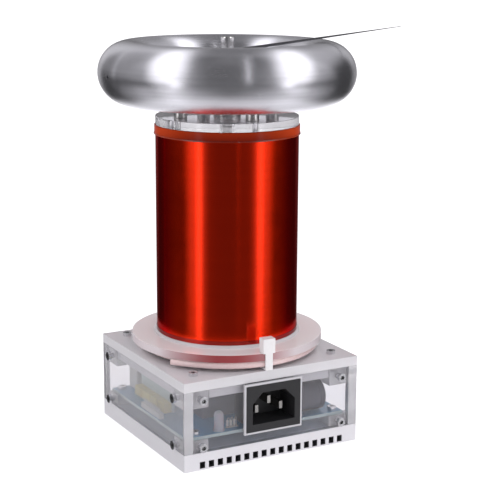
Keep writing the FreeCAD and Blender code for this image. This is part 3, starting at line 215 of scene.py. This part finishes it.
class Finish(Tree):
    """A node material under construction, with its Principled shader."""

    def __init__(self, name, colour, roughness, **inputs):
        self.material = bpy.data.materials.new(name)
        super().__init__(self.material)
        self.output = self.node("ShaderNodeOutputMaterial")
        self.shader = self.node("ShaderNodeBsdfPrincipled")
        self.link(self.shader.outputs["BSDF"], self.output.inputs["Surface"])
        self.set(**{"Base Color": (*colour, 1.0), "Roughness": roughness, **inputs})
        self.coordinates = self.node("ShaderNodeTexCoord").outputs["Object"]

    def set(self, **inputs):
        for name, value in inputs.items():
            self.shader.inputs[name].default_value = value

    def parts(self):
        """The three coordinates of the place on the object."""
        return self.split(self.coordinates)

    def vector(self, x, y, z):
        made = self.node("ShaderNodeCombineXYZ")
        self.feed(made.inputs, (x, y, z))
        return made.outputs[0]

    def noise(self, scale, detail=3.0, coordinates=None, stretch=(1, 1, 1)):
        """A noise value from 0 to 1, by features to the metre and how they multiply by axis."""
        mapping = self.node("ShaderNodeMapping")
        self.link(coordinates or self.coordinates, mapping.inputs["Vector"])
        mapping.inputs["Scale"].default_value = [scale * share for share in stretch]
        texture = self.node("ShaderNodeTexNoise")
        texture.inputs["Scale"].default_value = 1.0
        texture.inputs["Detail"].default_value = detail
        self.link(mapping.outputs[0], texture.inputs["Vector"])
        return texture.outputs["Fac"]

    def span(self, value, low, high, start=0.0, end=1.0):
        """Map a value between start and end onto low to high."""
        made = self.node("ShaderNodeMapRange")
        self.link(value, made.inputs["Value"])
        ends = {"From Min": start, "From Max": end, "To Min": low, "To Max": high}
        for name, number in ends.items():
            made.inputs[name].default_value = number
        return made.outputs["Result"]

    def blend(self, share, first, second):
        """Mix two colours by a share from 0 to 1."""
        made = self.node("ShaderNodeMix", data_type="RGBA")
        self.link(share, made.inputs["Factor"])
        for socket, colour in ((made.inputs[6], first), (made.inputs[7], second)):
            if isinstance(colour, tuple):
                socket.default_value = (*colour, 1.0)
            else:
                self.link(colour, socket)
        return made.outputs[2]

    def facing(self):
        """From 0 where the surface is looked at squarely to 1 at its outline."""
        weight = self.node("ShaderNodeLayerWeight")
        weight.inputs["Blend"].default_value = 0.5
        return weight.outputs["Facing"]

    def colour(self, source):
        self.link(source, self.shader.inputs["Base Color"])

    def roughness(self, source):
        self.link(source, self.shader.inputs["Roughness"])

    def bump(self, height, distance):
        """Raise the surface by a height from 0 to 1 times a distance in metres."""
        made = self.node("ShaderNodeBump")
        made.inputs["Distance"].default_value = distance
        made.inputs["Strength"].default_value = 1.0
        self.link(height, made.inputs["Height"])
        for name in ("Normal", "Coat Normal"):
            self.link(made.outputs[0], self.shader.inputs[name])

    def let_lamps_through(self, tint):
        """Clear pieces don't shut the light out of what is behind them."""
        path = self.node("ShaderNodeLightPath")
        clear = self.node("ShaderNodeBsdfTransparent")
        clear.inputs["Color"].default_value = (*tint, 1.0)
        mix = self.node("ShaderNodeMixShader")
        self.link(path.outputs["Is Shadow Ray"], mix.inputs[0])
        self.link(self.shader.outputs[0], mix.inputs[1])
        self.link(clear.outputs[0], mix.inputs[2])
        self.link(mix.outputs[0], self.output.inputs["Surface"])

    def ringed(self, scale, detail=4.0):
        """Noise that is even all the way round the Z axis, as a lathe leaves it."""
        x, y, z = self.parts()
        return self.noise(scale, detail, self.vector(self.length(x, y), 0.0, z))

    def stretch_upright(self, amount):
        """Stretch reflections across the fine lines that run round the Z axis."""
        tangent = self.node("ShaderNodeTangent", direction_type="RADIAL", axis="Z")
        self.link(tangent.outputs[0], self.shader.inputs["Tangent"])
        self.set(**{"Anisotropic": amount, "Anisotropic Rotation": 0.25})


def spun_aluminium():
    """Satin aluminium with the fine rings of spinning and polishing."""
    finish = Finish("spun_aluminium", (0.80, 0.80, 0.84), 0.24, Metallic=1.0)
    finish.stretch_upright(0.8)
    rings = finish.ringed(5200, 5.0)
    blotch = finish.noise(55, 3.0, stretch=(1, 1, 2))
    finish.roughness(finish.math("ADD", finish.span(rings, 0.16, 0.24),
                                 finish.span(blotch, 0.0, 0.10)))
    finish.colour(finish.blend(finish.ringed(900, 2.0), (0.74, 0.74, 0.785), (0.84, 0.84, 0.885)))
    finish.bump(rings, 0.012 * MM)
    return finish


def enamelled_wire(name, dark, light, coat):
    """A close-wound layer of fine enamelled wire under lacquer."""
    finish = Finish(name, light, 0.22, Metallic=1.0)
    finish.set(**{"Coat Weight": coat, "Coat Roughness": 0.04,
                  "Specular Tint": (0.3, 0.03, 0.01, 1.0)})
    finish.stretch_upright(0.85)
    z = finish.parts()[2]
    turns = finish.math("SINE", finish.math("MULTIPLY", z, 2 * math.pi / TURN_PITCH))
    band = finish.ringed(420, 3.0)
    finish.colour(finish.blend(band, dark, light))
    finish.roughness(finish.span(finish.noise(90, 2.0), 0.15, 0.21))
    finish.bump(finish.math("ADD", finish.span(turns, 0.0, 0.08, -1.0, 1.0),
                            finish.span(band, 0.0, 0.5)), 0.015 * MM)
    return finish


def lacquer(name, **inputs):
    """Amber lacquer, lighter towards the top of the band, and painted lighter towards its outline
    as painted light.
    """
    finish = Finish(name, LACQUER_LIGHT, 0.35,
                    **{"Coat Weight": 0.15, "Coat Roughness": 0.03, "Specular IOR Level": 0.05,
                       **inputs})
    z = finish.parts()[2]
    low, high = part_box("winding_band")
    # Share of the lighter colour: more towards the top of the band, and more towards the outline
    # as painted light
    depth = finish.math("ADD", finish.span(z, 0.0, 0.4, low.z, high.z),
                        finish.span(finish.facing(), 0.0, 0.9, 0.1, 0.7))
    finish.colour(finish.blend(depth, LACQUER_DARK, LACQUER_LIGHT))
    finish.bump(finish.noise(160, 2.0), 0.05 * MM)
    return finish


def clear_acrylic(name, milk, roughness, colour=(0.97, 0.965, 0.985), tint=(0.95, 0.95, 0.97)):
    """Cast acrylic, clear but for a share of milky scatter."""
    finish = Finish(name, colour, roughness, IOR=1.49)
    haze = finish.noise(40, 2.0)
    finish.link(finish.span(haze, 1.02 - milk, 0.98 - milk),
                finish.shader.inputs["Transmission Weight"])
    finish.roughness(finish.span(haze, roughness, roughness + 0.03))
    finish.let_lamps_through(tint)
    return finish


def sawn_edge(name, colour, milk):
    """The cut edge of a sheet of acrylic, matt from the saw."""
    finish = clear_acrylic(name, milk, 0.22, colour)
    marks = finish.noise(500, 3.0, stretch=(1, 1, 0.1))
    finish.colour(finish.blend(marks, tuple(0.95 * part for part in colour), colour))
    finish.bump(marks, 0.01 * MM)
    return finish


def rim_with_painted_coil_red():
    """The edge of the flange disc, with a painted reflection of the coil's red where it is looked
    at squarely, paler towards its outline.
    """
    finish = sawn_edge("rim_with_painted_coil_red", (0.80, 0.74, 0.76), 0.8)
    paleness = finish.span(finish.facing(), 0.0, 1.0, 0.05, 0.34)
    # Painted reflection: the coil's red put into the rim's colour where it is looked at squarely
    painted_coil_red = finish.blend(finish.noise(60, 2.0), (0.34, 0.045, 0.05), (0.42, 0.075, 0.08))
    finish.colour(finish.blend(paleness, painted_coil_red, (0.80, 0.72, 0.74)))
    return finish


def frosted_deck():
    """White sheet with a fine matt grain."""
    finish = Finish("frosted_deck", (0.87, 0.86, 0.89), 0.45)
    finish.colour(finish.blend(finish.noise(28, 3.0), (0.83, 0.82, 0.855), (0.90, 0.89, 0.915)))
    finish.bump(finish.noise(2500, 2.0), 0.01 * MM)
    return finish


def brushed_base():
    """Brushed, clear anodised aluminium, with painted shade darkening it down the channels."""
    finish = Finish("brushed_base", (0.86, 0.85, 0.88), 0.5, Metallic=0.35)
    grain = finish.noise(900, 3.0, stretch=(1, 0.06, 1))
    finish.roughness(finish.span(grain, 0.42, 0.58))
    skin = finish.blend(finish.noise(35, 3.0), (0.82, 0.81, 0.84), (0.89, 0.88, 0.91))
    low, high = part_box("base_plate")
    depth = None
    for place, least, most in zip(finish.parts(), low, high):
        for side in (least, most):
            away = finish.math("ABSOLUTE", finish.math("SUBTRACT", place, side))
            depth = away if depth is None else finish.math("MINIMUM", depth, away)
    # Painted shade: the colour turns near black deep down the channels, where light doesn't reach
    channel_shade = finish.span(depth, 0.0, 1.0, CHANNEL_SHADE_STARTS, CHANNEL_SHADE_FULL)
    finish.colour(finish.blend(channel_shade, skin, (0.09, 0.09, 0.10)))
    finish.bump(grain, 0.01 * MM)
    return finish


def bright_metal(name, colour, roughness, spread=0.08, grain=700, shade=1.0):
    """Polished or plated metal. Its colour is painted darker in recesses as painted shade, the
    more so the larger shade is.
    """
    finish = Finish(name, colour, roughness, Metallic=1.0)
    finish.roughness(finish.span(finish.noise(grain, 3.0), roughness, roughness + spread))
    finish.bump(finish.noise(grain * 2, 2.0), 0.006 * MM)
    # Painted shade: ambient occlusion darkens the colour in recesses, such as the sockets of screw
    # heads
    hollow = finish.node("ShaderNodeAmbientOcclusion", samples=8, only_local=True)
    hollow.inputs["Distance"].default_value = RECESS_REACH
    open_to_light = finish.span(hollow.outputs["AO"], 0.0, 1.0, 0.45, 0.85)
    dark = tuple(part * (1 - shade) for part in colour)
    finish.colour(finish.blend(open_to_light, dark, colour))
    return finish


def moulded(name, colour, roughness, grain=1800, depth=0.02, shade=0.85, **inputs):
    """Moulded plastic with a fine grain and a little uneven colour."""
    finish = Finish(name, colour, roughness, **inputs)
    darker = tuple(shade * part for part in colour)
    finish.colour(finish.blend(finish.noise(60, 3.0), darker, colour))
    finish.roughness(finish.span(finish.noise(140, 3.0), roughness - 0.05, roughness + 0.06))
    finish.bump(finish.noise(grain, 2.0), depth * MM)
    return finish


def circuit_board(name, ground, track):
    """Solder mask with faint tracks, and pale glass cloth at the cut edges."""
    finish = Finish(name, track, 0.3, **{"Coat Weight": 0.4, "Coat Roughness": 0.15})
    tracks = finish.node("ShaderNodeTexBrick", offset=0.37, squash=1.6)
    mapping = finish.node("ShaderNodeMapping")
    finish.link(finish.coordinates, mapping.inputs["Vector"])
    mapping.inputs["Scale"].default_value = (150, 150, 150)
    finish.link(mapping.outputs[0], tracks.inputs["Vector"])
    tracks.inputs["Scale"].default_value = 1.0
    tracks.inputs["Mortar Size"].default_value = 0.03
    mask = finish.blend(tracks.outputs["Fac"], ground, track)
    normal = finish.node("ShaderNodeNewGeometry").outputs["Normal"]
    level = finish.math("ABSOLUTE", finish.split(normal)[2])
    finish.colour(finish.blend(level, (0.52, 0.66, 0.66), mask))
    finish.bump(tracks.outputs["Fac"], 0.03 * MM)
    return finish


def primary_insulation():
    """A clear sleeve over pinkish copper strands."""
    finish = Finish("primary_insulation", (0.80, 0.58, 0.57), 0.2,
                    **{"Coat Weight": 1.0, "Coat Roughness": 0.06, "Transmission Weight": 0.2})
    strand = finish.noise(1600, 2.0, stretch=(1, 1, 2.5))
    finish.colour(finish.blend(strand, (0.84, 0.54, 0.52), (0.97, 0.84, 0.84)))
    finish.bump(strand, 0.02 * MM)
    return finish


def cloudy_nylon():
    """Undyed nylon with an uneven, slightly rough skin."""
    finish = Finish("cloudy_nylon", (0.80, 0.79, 0.78), 0.4)
    finish.colour(finish.blend(finish.noise(300, 2.0), (0.76, 0.75, 0.75), (0.84, 0.83, 0.83)))
    finish.bump(finish.noise(900, 2.0), 0.02 * MM)
    return finish


# The finish of each material slot
FINISHES = {
    "spun_aluminium": spun_aluminium(),
    "enamelled_wire": enamelled_wire("enamelled_wire", (0.84, 0.025, 0.003),
                                     (0.95, 0.035, 0.004), 0.12),
    "lacquer_band": lacquer("lacquer_band"),
    "primary_insulation": primary_insulation(),
    "clear_panel": clear_acrylic("clear_panel", 0.06, 0.01),
    "corner_block": clear_acrylic("corner_block", 0.65, 0.05, (0.99, 0.985, 1.0)),
    "clear_disc": clear_acrylic("clear_disc", 0.12, 0.02),
    "tube_clear": clear_acrylic("tube_clear", 0.2, 0.02),
    "frosted_deck": frosted_deck(),
    "anodised_base": brushed_base(),
    "screw_chrome": bright_metal("screw_chrome", (0.72, 0.72, 0.74), 0.2),
    "pin_metal": bright_metal("pin_metal", (0.46, 0.45, 0.43), 0.3),
    "terminal_chrome": bright_metal("terminal_chrome", (0.84, 0.83, 0.82), 0.1, 0.05, shade=0.6),
    "turned_metal": bright_metal("turned_metal", (0.72, 0.71, 0.70), 0.22),
    "control_metal": bright_metal("control_metal", (0.66, 0.66, 0.67), 0.3),
    "board_blue": circuit_board("circuit_board", (0.006, 0.22, 0.46), (0.02, 0.30, 0.58)),
    "inlet_black": moulded("inlet_black", (0.022, 0.022, 0.024), 0.45),
    "inlet_trim_white": moulded("inlet_trim_white", (0.64, 0.635, 0.66), 0.3),
    "lamp_clear": moulded("lamp_clear", (0.80, 0.80, 0.86), 0.25, depth=0.005, shade=0.97,
                          **{"Transmission Weight": 0.45, "Subsurface Weight": 0.4,
                             "Subsurface Scale": 1.5 * MM}),
    "capacitor_sleeve": moulded("capacitor_sleeve", (0.055, 0.055, 0.09), 0.35, 600),
    "film_dark": moulded("film_dark", (0.13, 0.135, 0.19), 0.42),
    "film_yellow": moulded("film_yellow", (0.95, 0.80, 0.27), 0.35),
    "header_white": moulded("header_white", (0.80, 0.79, 0.76), 0.45),
    "core_green": moulded("core_green", (0.16, 0.30, 0.20), 0.4),
    "epoxy_black": moulded("epoxy_black", (0.022, 0.022, 0.026), 0.5),
    "control_plastic": moulded("control_plastic", (0.025, 0.025, 0.03), 0.4),
    "tie_nylon": cloudy_nylon(),
}

# The edge of a cut sheet, and the sheets that differ from their slot: finish of faces and of edge
EDGE = sawn_edge("sawn_edge", (0.88, 0.875, 0.90), 0.4)
SHEET_FINISHES = {
    "lid_plate": (clear_acrylic("lid_acrylic", 0.62, 0.02, (0.99, 0.975, 1.0)),
                  sawn_edge("lid_edge", (0.95, 0.94, 0.965), 0.66)),
    "end_disc": (clear_acrylic("end_disc_face", 0.5, 0.03), FINISHES["clear_disc"]),
    "flange_disc": (clear_acrylic("milky_disc", 0.97, 0.08, (1.0, 1.0, 1.0)),
                    rim_with_painted_coil_red()),
    "left_panel": (clear_acrylic("hazy_panel", 0.15, 0.02), EDGE),
    "base_plate": (FINISHES["anodised_base"], FINISHES["anodised_base"]),
    "deck_plate": (FINISHES["frosted_deck"], FINISHES["frosted_deck"]),
}
# Other nodes that differ from their slot
NODE_FINISHES = {
    "mains_filter": FINISHES["header_white"],
    "driver_board": circuit_board("teal_board", (0.004, 0.30, 0.34), (0.02, 0.42, 0.46)),
    "discharge_needle": bright_metal("burnished_steel", (0.20, 0.20, 0.21), 0.35),
}


def finish_of(node):
    """The finish of a node that has one all over."""
    return NODE_FINISHES.get(node, FINISHES[SLOTS[node]])


def mesh_of(name, shape):
    """A finished shape as a mesh."""
    mesh = bpy.data.meshes.new(name)
    shape.to_mesh(mesh)
    shape.free()
    return mesh


def placed(name, data):
    """A new object in the scene."""
    item = bpy.data.objects.new(name, data)
    bpy.context.scene.collection.objects.link(item)
    return item


def two_faced(mesh, node, size):
    """Give a sheet's faces one finish and its sawn edges another."""
    thin = min(range(3), key=lambda axis: size[axis])
    face, edge = SHEET_FINISHES.get(node, (FINISHES[SLOTS[node]], EDGE))
    mesh.materials.append(face.material)
    mesh.materials.append(edge.material)
    for polygon in mesh.polygons:
        polygon.material_index = int(abs(polygon.normal[thin]) < FACE_ON)


def softened(node, width, gap=0.0):
    """A copy of a node with its sharp edges broken, and a hair smaller where it shares a face."""
    low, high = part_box(node)
    middle, size = (low + high) / 2, high - low
    shape = bmesh.new()
    shape.from_mesh(NODES[node].data)
    bmesh.ops.remove_doubles(shape, verts=shape.verts, dist=0.001 * MM)
    bmesh.ops.dissolve_limit(shape, angle_limit=math.radians(1), verts=shape.verts,
                             edges=shape.edges)
    for vertex in shape.verts:
        vertex.co = Vector([middle[i] + (vertex.co[i] - middle[i]) * (1 - 2 * gap / size[i])
                            for i in range(3)])
    mesh = mesh_of(node + "_edged", shape)
    if "custom_normal" in mesh.attributes:
        mesh.attributes.remove(mesh.attributes["custom_normal"])
    mesh.shade_smooth()
    mesh.set_sharp_from_angle(angle=EDGE_ANGLE)
    item = placed(node + "_edged", mesh)
    edge = item.modifiers.new("edge", "BEVEL")
    edge.width = width
    edge.segments = 2
    edge.limit_method = "ANGLE"
    edge.angle_limit = EDGE_ANGLE
    edge.harden_normals = True
    mesh.materials.clear()
    if node in CUT_SHEETS:
        two_faced(mesh, node, size)
    else:
        mesh.materials.append(finish_of(node).material)
    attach(item, BODIES[node])
    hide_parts(node)


def soften_edges():
    """Broken edges on everything that is cut or moulded, as the real pieces have."""
    for node in NODES:
        if node in CUT_SHEETS or "_block_" in node:
            softened(node, SHEET_EDGE, SHEET_GAP)
        elif node.startswith("tank_capacitor") or node in MOULDED:
            softened(node, MOULDED_EDGE)
        elif node in FINE:
            softened(node, FINE_EDGE)


def dress_nodes():
    """Give each CAD node its finish."""
    for node, item in NODES.items():
        item.data.materials.clear()
        item.data.materials.append(finish_of(node).material)


def piece(name, mesh, finish):
    """A new piece of the scene, which rides on the case."""
    mesh.materials.append(finish.material)
    mesh.shade_smooth()
    mesh.set_sharp_from_angle(angle=PIECE_EDGE_ANGLE)
    item = placed(name, mesh)
    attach(item, "case")


def around(steps):
    """Angles spread evenly over a whole turn."""
    return [2 * math.pi * step / steps for step in range(steps)]


def skinned(shape, rings, capped=True):
    """Faces from each ring of vertices to the next, and over both ends where capped."""
    for first, second in zip(rings, rings[1:]):
        for side in range(len(first)):
            after = (side + 1) % len(first)
            shape.faces.new((first[side], first[after], second[after], second[side]))
    if capped:
        shape.faces.new(rings[0][::-1])
        shape.faces.new(rings[-1])


def turned(name, profile, steps, places=((0.0, 0.0, 0.0),)):
    """A mesh turned round the Z axis from (radius, height) points, once at each place."""
    shape = bmesh.new()
    closed = profile[0] == profile[-1]
    for x, y, z in places:
        rings = [[shape.verts.new((x + radius * math.cos(turn), y + radius * math.sin(turn),
                                   z + height)) for turn in around(steps)]
                 for radius, height in profile]
        skinned(shape, rings, not closed)
    if closed:
        bmesh.ops.remove_doubles(shape, verts=shape.verts, dist=0.0005 * MM)
    bmesh.ops.recalc_face_normals(shape, faces=shape.faces)
    return mesh_of(name, shape)


def wired(name, lines, radius, sides=10):
    """A mesh of round wires, each along a smooth line through its points."""
    shape = bmesh.new()
    for line in lines:
        points = smooth_line([Vector(point) for point in line])
        across = None
        rings = []
        for place, point in enumerate(points):
            ahead = points[min(place + 1, len(points) - 1)] - points[max(place - 1, 0)]
            ahead.normalize()
            if across is None:
                across = ahead.orthogonal().normalized()
            across = (across - ahead * across.dot(ahead)).normalized()
            over = ahead.cross(across)
            rings.append([shape.verts.new(point + radius * (across * math.cos(turn)
                                                            + over * math.sin(turn)))
                          for turn in around(sides)])
        skinned(shape, rings)
    bmesh.ops.recalc_face_normals(shape, faces=shape.faces)
    return mesh_of(name, shape)


def smooth_line(points, steps=6):
    """Points along a Catmull-Rom curve through the points."""
    if len(points) == 2:
        return points
    padded = [2 * points[0] - points[1], *points, 2 * points[-1] - points[-2]]
    line = []
    for before, start, end, after in zip(padded, padded[1:], padded[2:], padded[3:]):
        for step in range(steps):
            share = step / steps
            line.append(0.5 * (2 * start + (end - before) * share
                               + (2 * before - 5 * start + 4 * end - after) * share ** 2
                               + (3 * start - before - 3 * end + after) * share ** 3))
    return [*line, points[-1]]


def in_metres(profile):
    """Pairs in millimetres as pairs in metres."""
    return [(first * MM, second * MM) for first, second in profile]


def coil_foot():
    """The coat on the coil's lowest turns, the lip of its band and the glue round its foot."""
    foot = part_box("flange_disc")[1].z
    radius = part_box("secondary_winding")[1].x
    low, high = foot + COAT_LIFT, foot + COAT_TALL
    coat = [(radius, low), (radius + COAT_THICK, low), (radius + COAT_THICK, high),
            (radius, high + COAT_THICK), (radius, low)]
    piece("foot_lacquer", turned("foot_lacquer", coat, COIL_STEPS),
          enamelled_wire("foot_lacquer", (0.36, 0.008, 0.002), (0.46, 0.012, 0.003), 0.6))

    band_low, band_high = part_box("winding_band")
    out, edge = (band_high.x - band_low.x) / 2 - LIP_INSET, band_low.z + LIP_LIFT
    roll = [(out + LIP_WIDE * math.sin(turn), edge + LIP_TALL * math.cos(turn))
            for turn in (math.radians(angle) for angle in range(36, 91, 9))]
    piece("lacquer_lip", turned("lacquer_lip", [(out, edge), *roll, (out, edge)], COIL_STEPS),
          lacquer("lacquer_lip", **{"Coat Weight": 1.0, "Coat IOR": 1.6, "Coat Roughness": 0.06}))

    root = (radius - GLUE_INSET, foot)
    curve = [(root[0] + GLUE_WIDE * math.sin(turn),
              foot + GLUE_TALL * math.cos(turn) ** GLUE_HOLLOW)
             for turn in (math.radians(angle) for angle in range(0, 91, 15))]
    piece("glue_bead", turned("glue_bead", [root, *curve, root], COIL_STEPS),
          sawn_edge("clear_glue", (0.97, 0.94, 0.96), 0.7))


def board_parts():
    """Small parts on the board near the front, with their leads and solder."""
    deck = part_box("circuit_board")[1].z
    lamp_low, lamp_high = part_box("indicator_lamp")
    x, y = (lamp_low.x + lamp_high.x) / 2, (lamp_low.y + lamp_high.y) / 2
    leads = [[(x + aside, y, lamp_low.z + LAMP_LEAD_START), (x + aside, y, deck - LEAD_BELOW)]
             for aside in (-LAMP_LEAD_ASIDE, LAMP_LEAD_ASIDE)]
    stands = [(x + aside, y + RESISTORS_BEHIND, deck) for aside in RESISTORS_ASIDE]
    piece("resistors", turned("resistors", in_metres(RESISTOR_BODY), 20, stands),
          FINISHES["header_white"])
    for left, across, top in stands:
        leads.append([(left + aside, across, top + rise)
                      for aside, rise in in_metres(RESISTOR_LEAD)])
        leads.append([(left, across, top + RESISTOR_FOOT), (left, across, top - LEAD_BELOW)])
    piece("part_leads", wired("part_leads", leads, LEAD_RADIUS), FINISHES["pin_metal"])
    spots = [(line[-1][0], line[-1][1], deck - SOLDER_SINK) for line in leads]
    piece("solder_joints", turned("solder_joints", in_metres(SOLDER_CONE), 14, spots),
          FINISHES["pin_metal"])


def studio():
    """A pale floor that runs on into the pale surround."""
    finish = Finish("floor", (0.92, 0.92, 0.92), 0.9,
                    **{"Emission Color": (1, 1, 1, 1), "Emission Strength": FLOOR_GLOW,
                       "Specular IOR Level": 0.0})
    finish.colour(finish.blend(finish.noise(3, 2.0), (0.915, 0.915, 0.92), (0.925, 0.925, 0.925)))
    shape = bmesh.new()
    bmesh.ops.create_grid(shape, x_segments=1, y_segments=1, size=FLOOR_REACH)
    mesh = mesh_of("floor", shape)
    mesh.materials.append(finish.material)
    floor = placed("floor", mesh)
    floor.visible_glossy = False


class Sky(Tree):
    """The surround: pale to look at, and a studio with soft lamps in what shines."""

    def __init__(self):
        world = bpy.data.worlds.new("studio_light")
        bpy.context.scene.world = world
        world.cycles.sampling_method = "NONE"
        super().__init__(world)
        output = self.node("ShaderNodeOutputWorld")
        background = self.node("ShaderNodeBackground")
        background.inputs["Color"].default_value = SKY_COLOUR
        self.link(background.outputs[0], output.inputs["Surface"])
        self.find_directions()
        path = self.node("ShaderNodeLightPath").outputs
        shine = self.math("GREATER_THAN", self.math("SUBTRACT", path["Is Glossy Ray"],
                                                    path["Is Transmission Ray"]), 0.5)
        seen = path["Is Camera Ray"]
        sides = self.math("ADD", PALE_LIGHT, self.math("MULTIPLY", self.right, SIDE_LIGHT))
        pale = self.math("ADD", self.math("MULTIPLY", seen, WHITE_BACKDROP),
                         self.math("MULTIPLY", self.math("SUBTRACT", 1.0, seen), sides))
        total = self.math("ADD", self.math("MULTIPLY", shine, self.lamps()),
                          self.math("MULTIPLY", self.math("SUBTRACT", 1.0, shine), pale))
        self.link(total, background.inputs["Strength"])

    def find_directions(self):
        """The measures of a direction that the lamps go by, all in degrees but the first."""
        x, y, z = self.split(self.node("ShaderNodeTexCoord").outputs["Generated"])
        lean = math.radians(CAMERA_AZIMUTH)
        self.right = self.math("ADD", self.math("MULTIPLY", x, math.cos(lean)),
                               self.math("MULTIPLY", y, math.sin(lean)))
        towards = self.math("ADD", self.math("MULTIPLY", x, math.sin(lean)),
                            self.math("MULTIPLY", y, -math.cos(lean)))
        self.round = self.degrees("ARCTAN2", self.right, towards)
        self.aside = self.math("ABSOLUTE", self.round)
        self.height = self.degrees("ARCSINE", z)
        pitch = math.radians(TOP_LOAD_PITCH)
        ahead = self.math("ADD", towards, math.cos(pitch))
        above = self.math("ADD", z, math.sin(pitch))
        self.turn = self.degrees("ARCTAN2", self.right, ahead)
        self.rise = self.degrees("ARCTAN2", above, self.length(ahead, self.right))

    def degrees(self, operation, *values):
        return self.math("MULTIPLY", self.math(operation, *values), 180 / math.pi)

    def ramp(self, value, start, end):
        """From 0 at start to 1 at end, with soft shoulders."""
        made = self.node("ShaderNodeMapRange", interpolation_type="SMOOTHSTEP")
        self.link(value, made.inputs["Value"])
        made.inputs["From Min"].default_value = start
        made.inputs["From Max"].default_value = end
        return made.outputs["Result"]

    def off(self, value, middle, half):
        """How far off a middle a value is, by a half width."""
        return self.math("DIVIDE", self.math("SUBTRACT", value, middle), half)

    def window(self, value, low, high, soft):
        """1 from low to high and 0 beyond, with soft edges."""
        return self.math("MULTIPLY", self.ramp(value, low - soft, low + soft),
                         self.ramp(value, high + soft, high - soft))

    def lit(self, total, lamp, strength):
        return self.math("ADD", total, self.math("MULTIPLY", lamp, strength))

    def load_lamps(self):
        """The lamps that shine on the top load."""
        total = 0.0
        for turn, rise, wide, tall, soft, strength in BLOOMS:
            reach = self.length(self.off(self.turn, turn, wide), self.off(self.rise, rise, tall))
            total = self.lit(total, self.ramp(reach, 1 + soft, 1 - soft), strength)
        for low, high, soft, bottom, top, fade, strength in LOAD_COLUMNS:
            lamp = self.math("MULTIPLY", self.window(self.turn, low, high, soft),
                             self.window(self.rise, bottom, top, fade))
            total = self.lit(total, lamp, strength)
        return total

    def coil_lamps(self):
        """The lamps that shine on the coil."""
        total = 0.0
        for low, high, soft, strength in COIL_COLUMNS:
            total = self.lit(total, self.window(self.turn, low, high, soft), strength)
        return total

    def floor_light(self):
        """The floor as the top load mirrors it."""
        squared = self.math("MULTIPLY", self.turn, self.turn)
        sag = self.math("MINIMUM", self.math("MULTIPLY", squared, FLOOR_SAG), FLOOR_SAG_MOST)
        sunk = self.math("ADD", self.rise, sag)
        return self.math("MULTIPLY", self.ramp(sunk, FLOOR_STARTS, FLOOR_FULL), FLOOR_STRENGTH)

    def lamps(self):
        """The brightness of each direction in what shines."""
        total = self.math("ADD", SURROUND, self.floor_light())
        kept = self.math("SUBTRACT", 1.0, self.window(self.rise, *LOAD_GAP))
        total = self.lit(total, self.load_lamps(), kept)
        total = self.lit(total, self.window(self.rise, *COIL_RISE), self.coil_lamps())
        for side, low, high, soft, bottom, top, fade, strength in SOFT_BOXES:
            place = self.aside if side == "both" else self.round
            lamp = self.math("MULTIPLY", self.window(place, low, high, soft),
                             self.window(self.height, bottom, top, fade))
            total = self.lit(total, lamp, strength)
        return total


def camera():
    """The photograph's camera."""
    azimuth, pitch, roll = (math.radians(angle)
                            for angle in (CAMERA_AZIMUTH, CAMERA_PITCH, CAMERA_ROLL))
    ahead = Vector((-math.sin(azimuth) * math.cos(pitch), math.cos(azimuth) * math.cos(pitch),
                    -math.sin(pitch)))
    right = ahead.cross(Vector((0, 0, 1))).normalized()
    up = right.cross(ahead)
    level = Matrix((right, up, -ahead)).transposed()
    data = bpy.data.cameras.new("camera")
    data.lens = CAMERA_LENS
    data.sensor_width = SENSOR
    data.clip_end = 100
    item = placed("camera", data)
    item.matrix_world = (Matrix.Translation(CAMERA_PLACE) @ level.to_4x4()
                         @ Matrix.Rotation(roll, 4, "Z"))
    bpy.context.scene.camera = item


dress_nodes()
soften_edges()
coil_foot()
board_parts()
studio()
Sky()
camera()

scene = bpy.context.scene
scene.view_settings.view_transform = "Standard"
scene.cycles.max_bounces = 40
scene.cycles.diffuse_bounces = 5
scene.cycles.glossy_bounces = 36
scene.cycles.transmission_bounces = 36
scene.cycles.transparent_max_bounces = 24
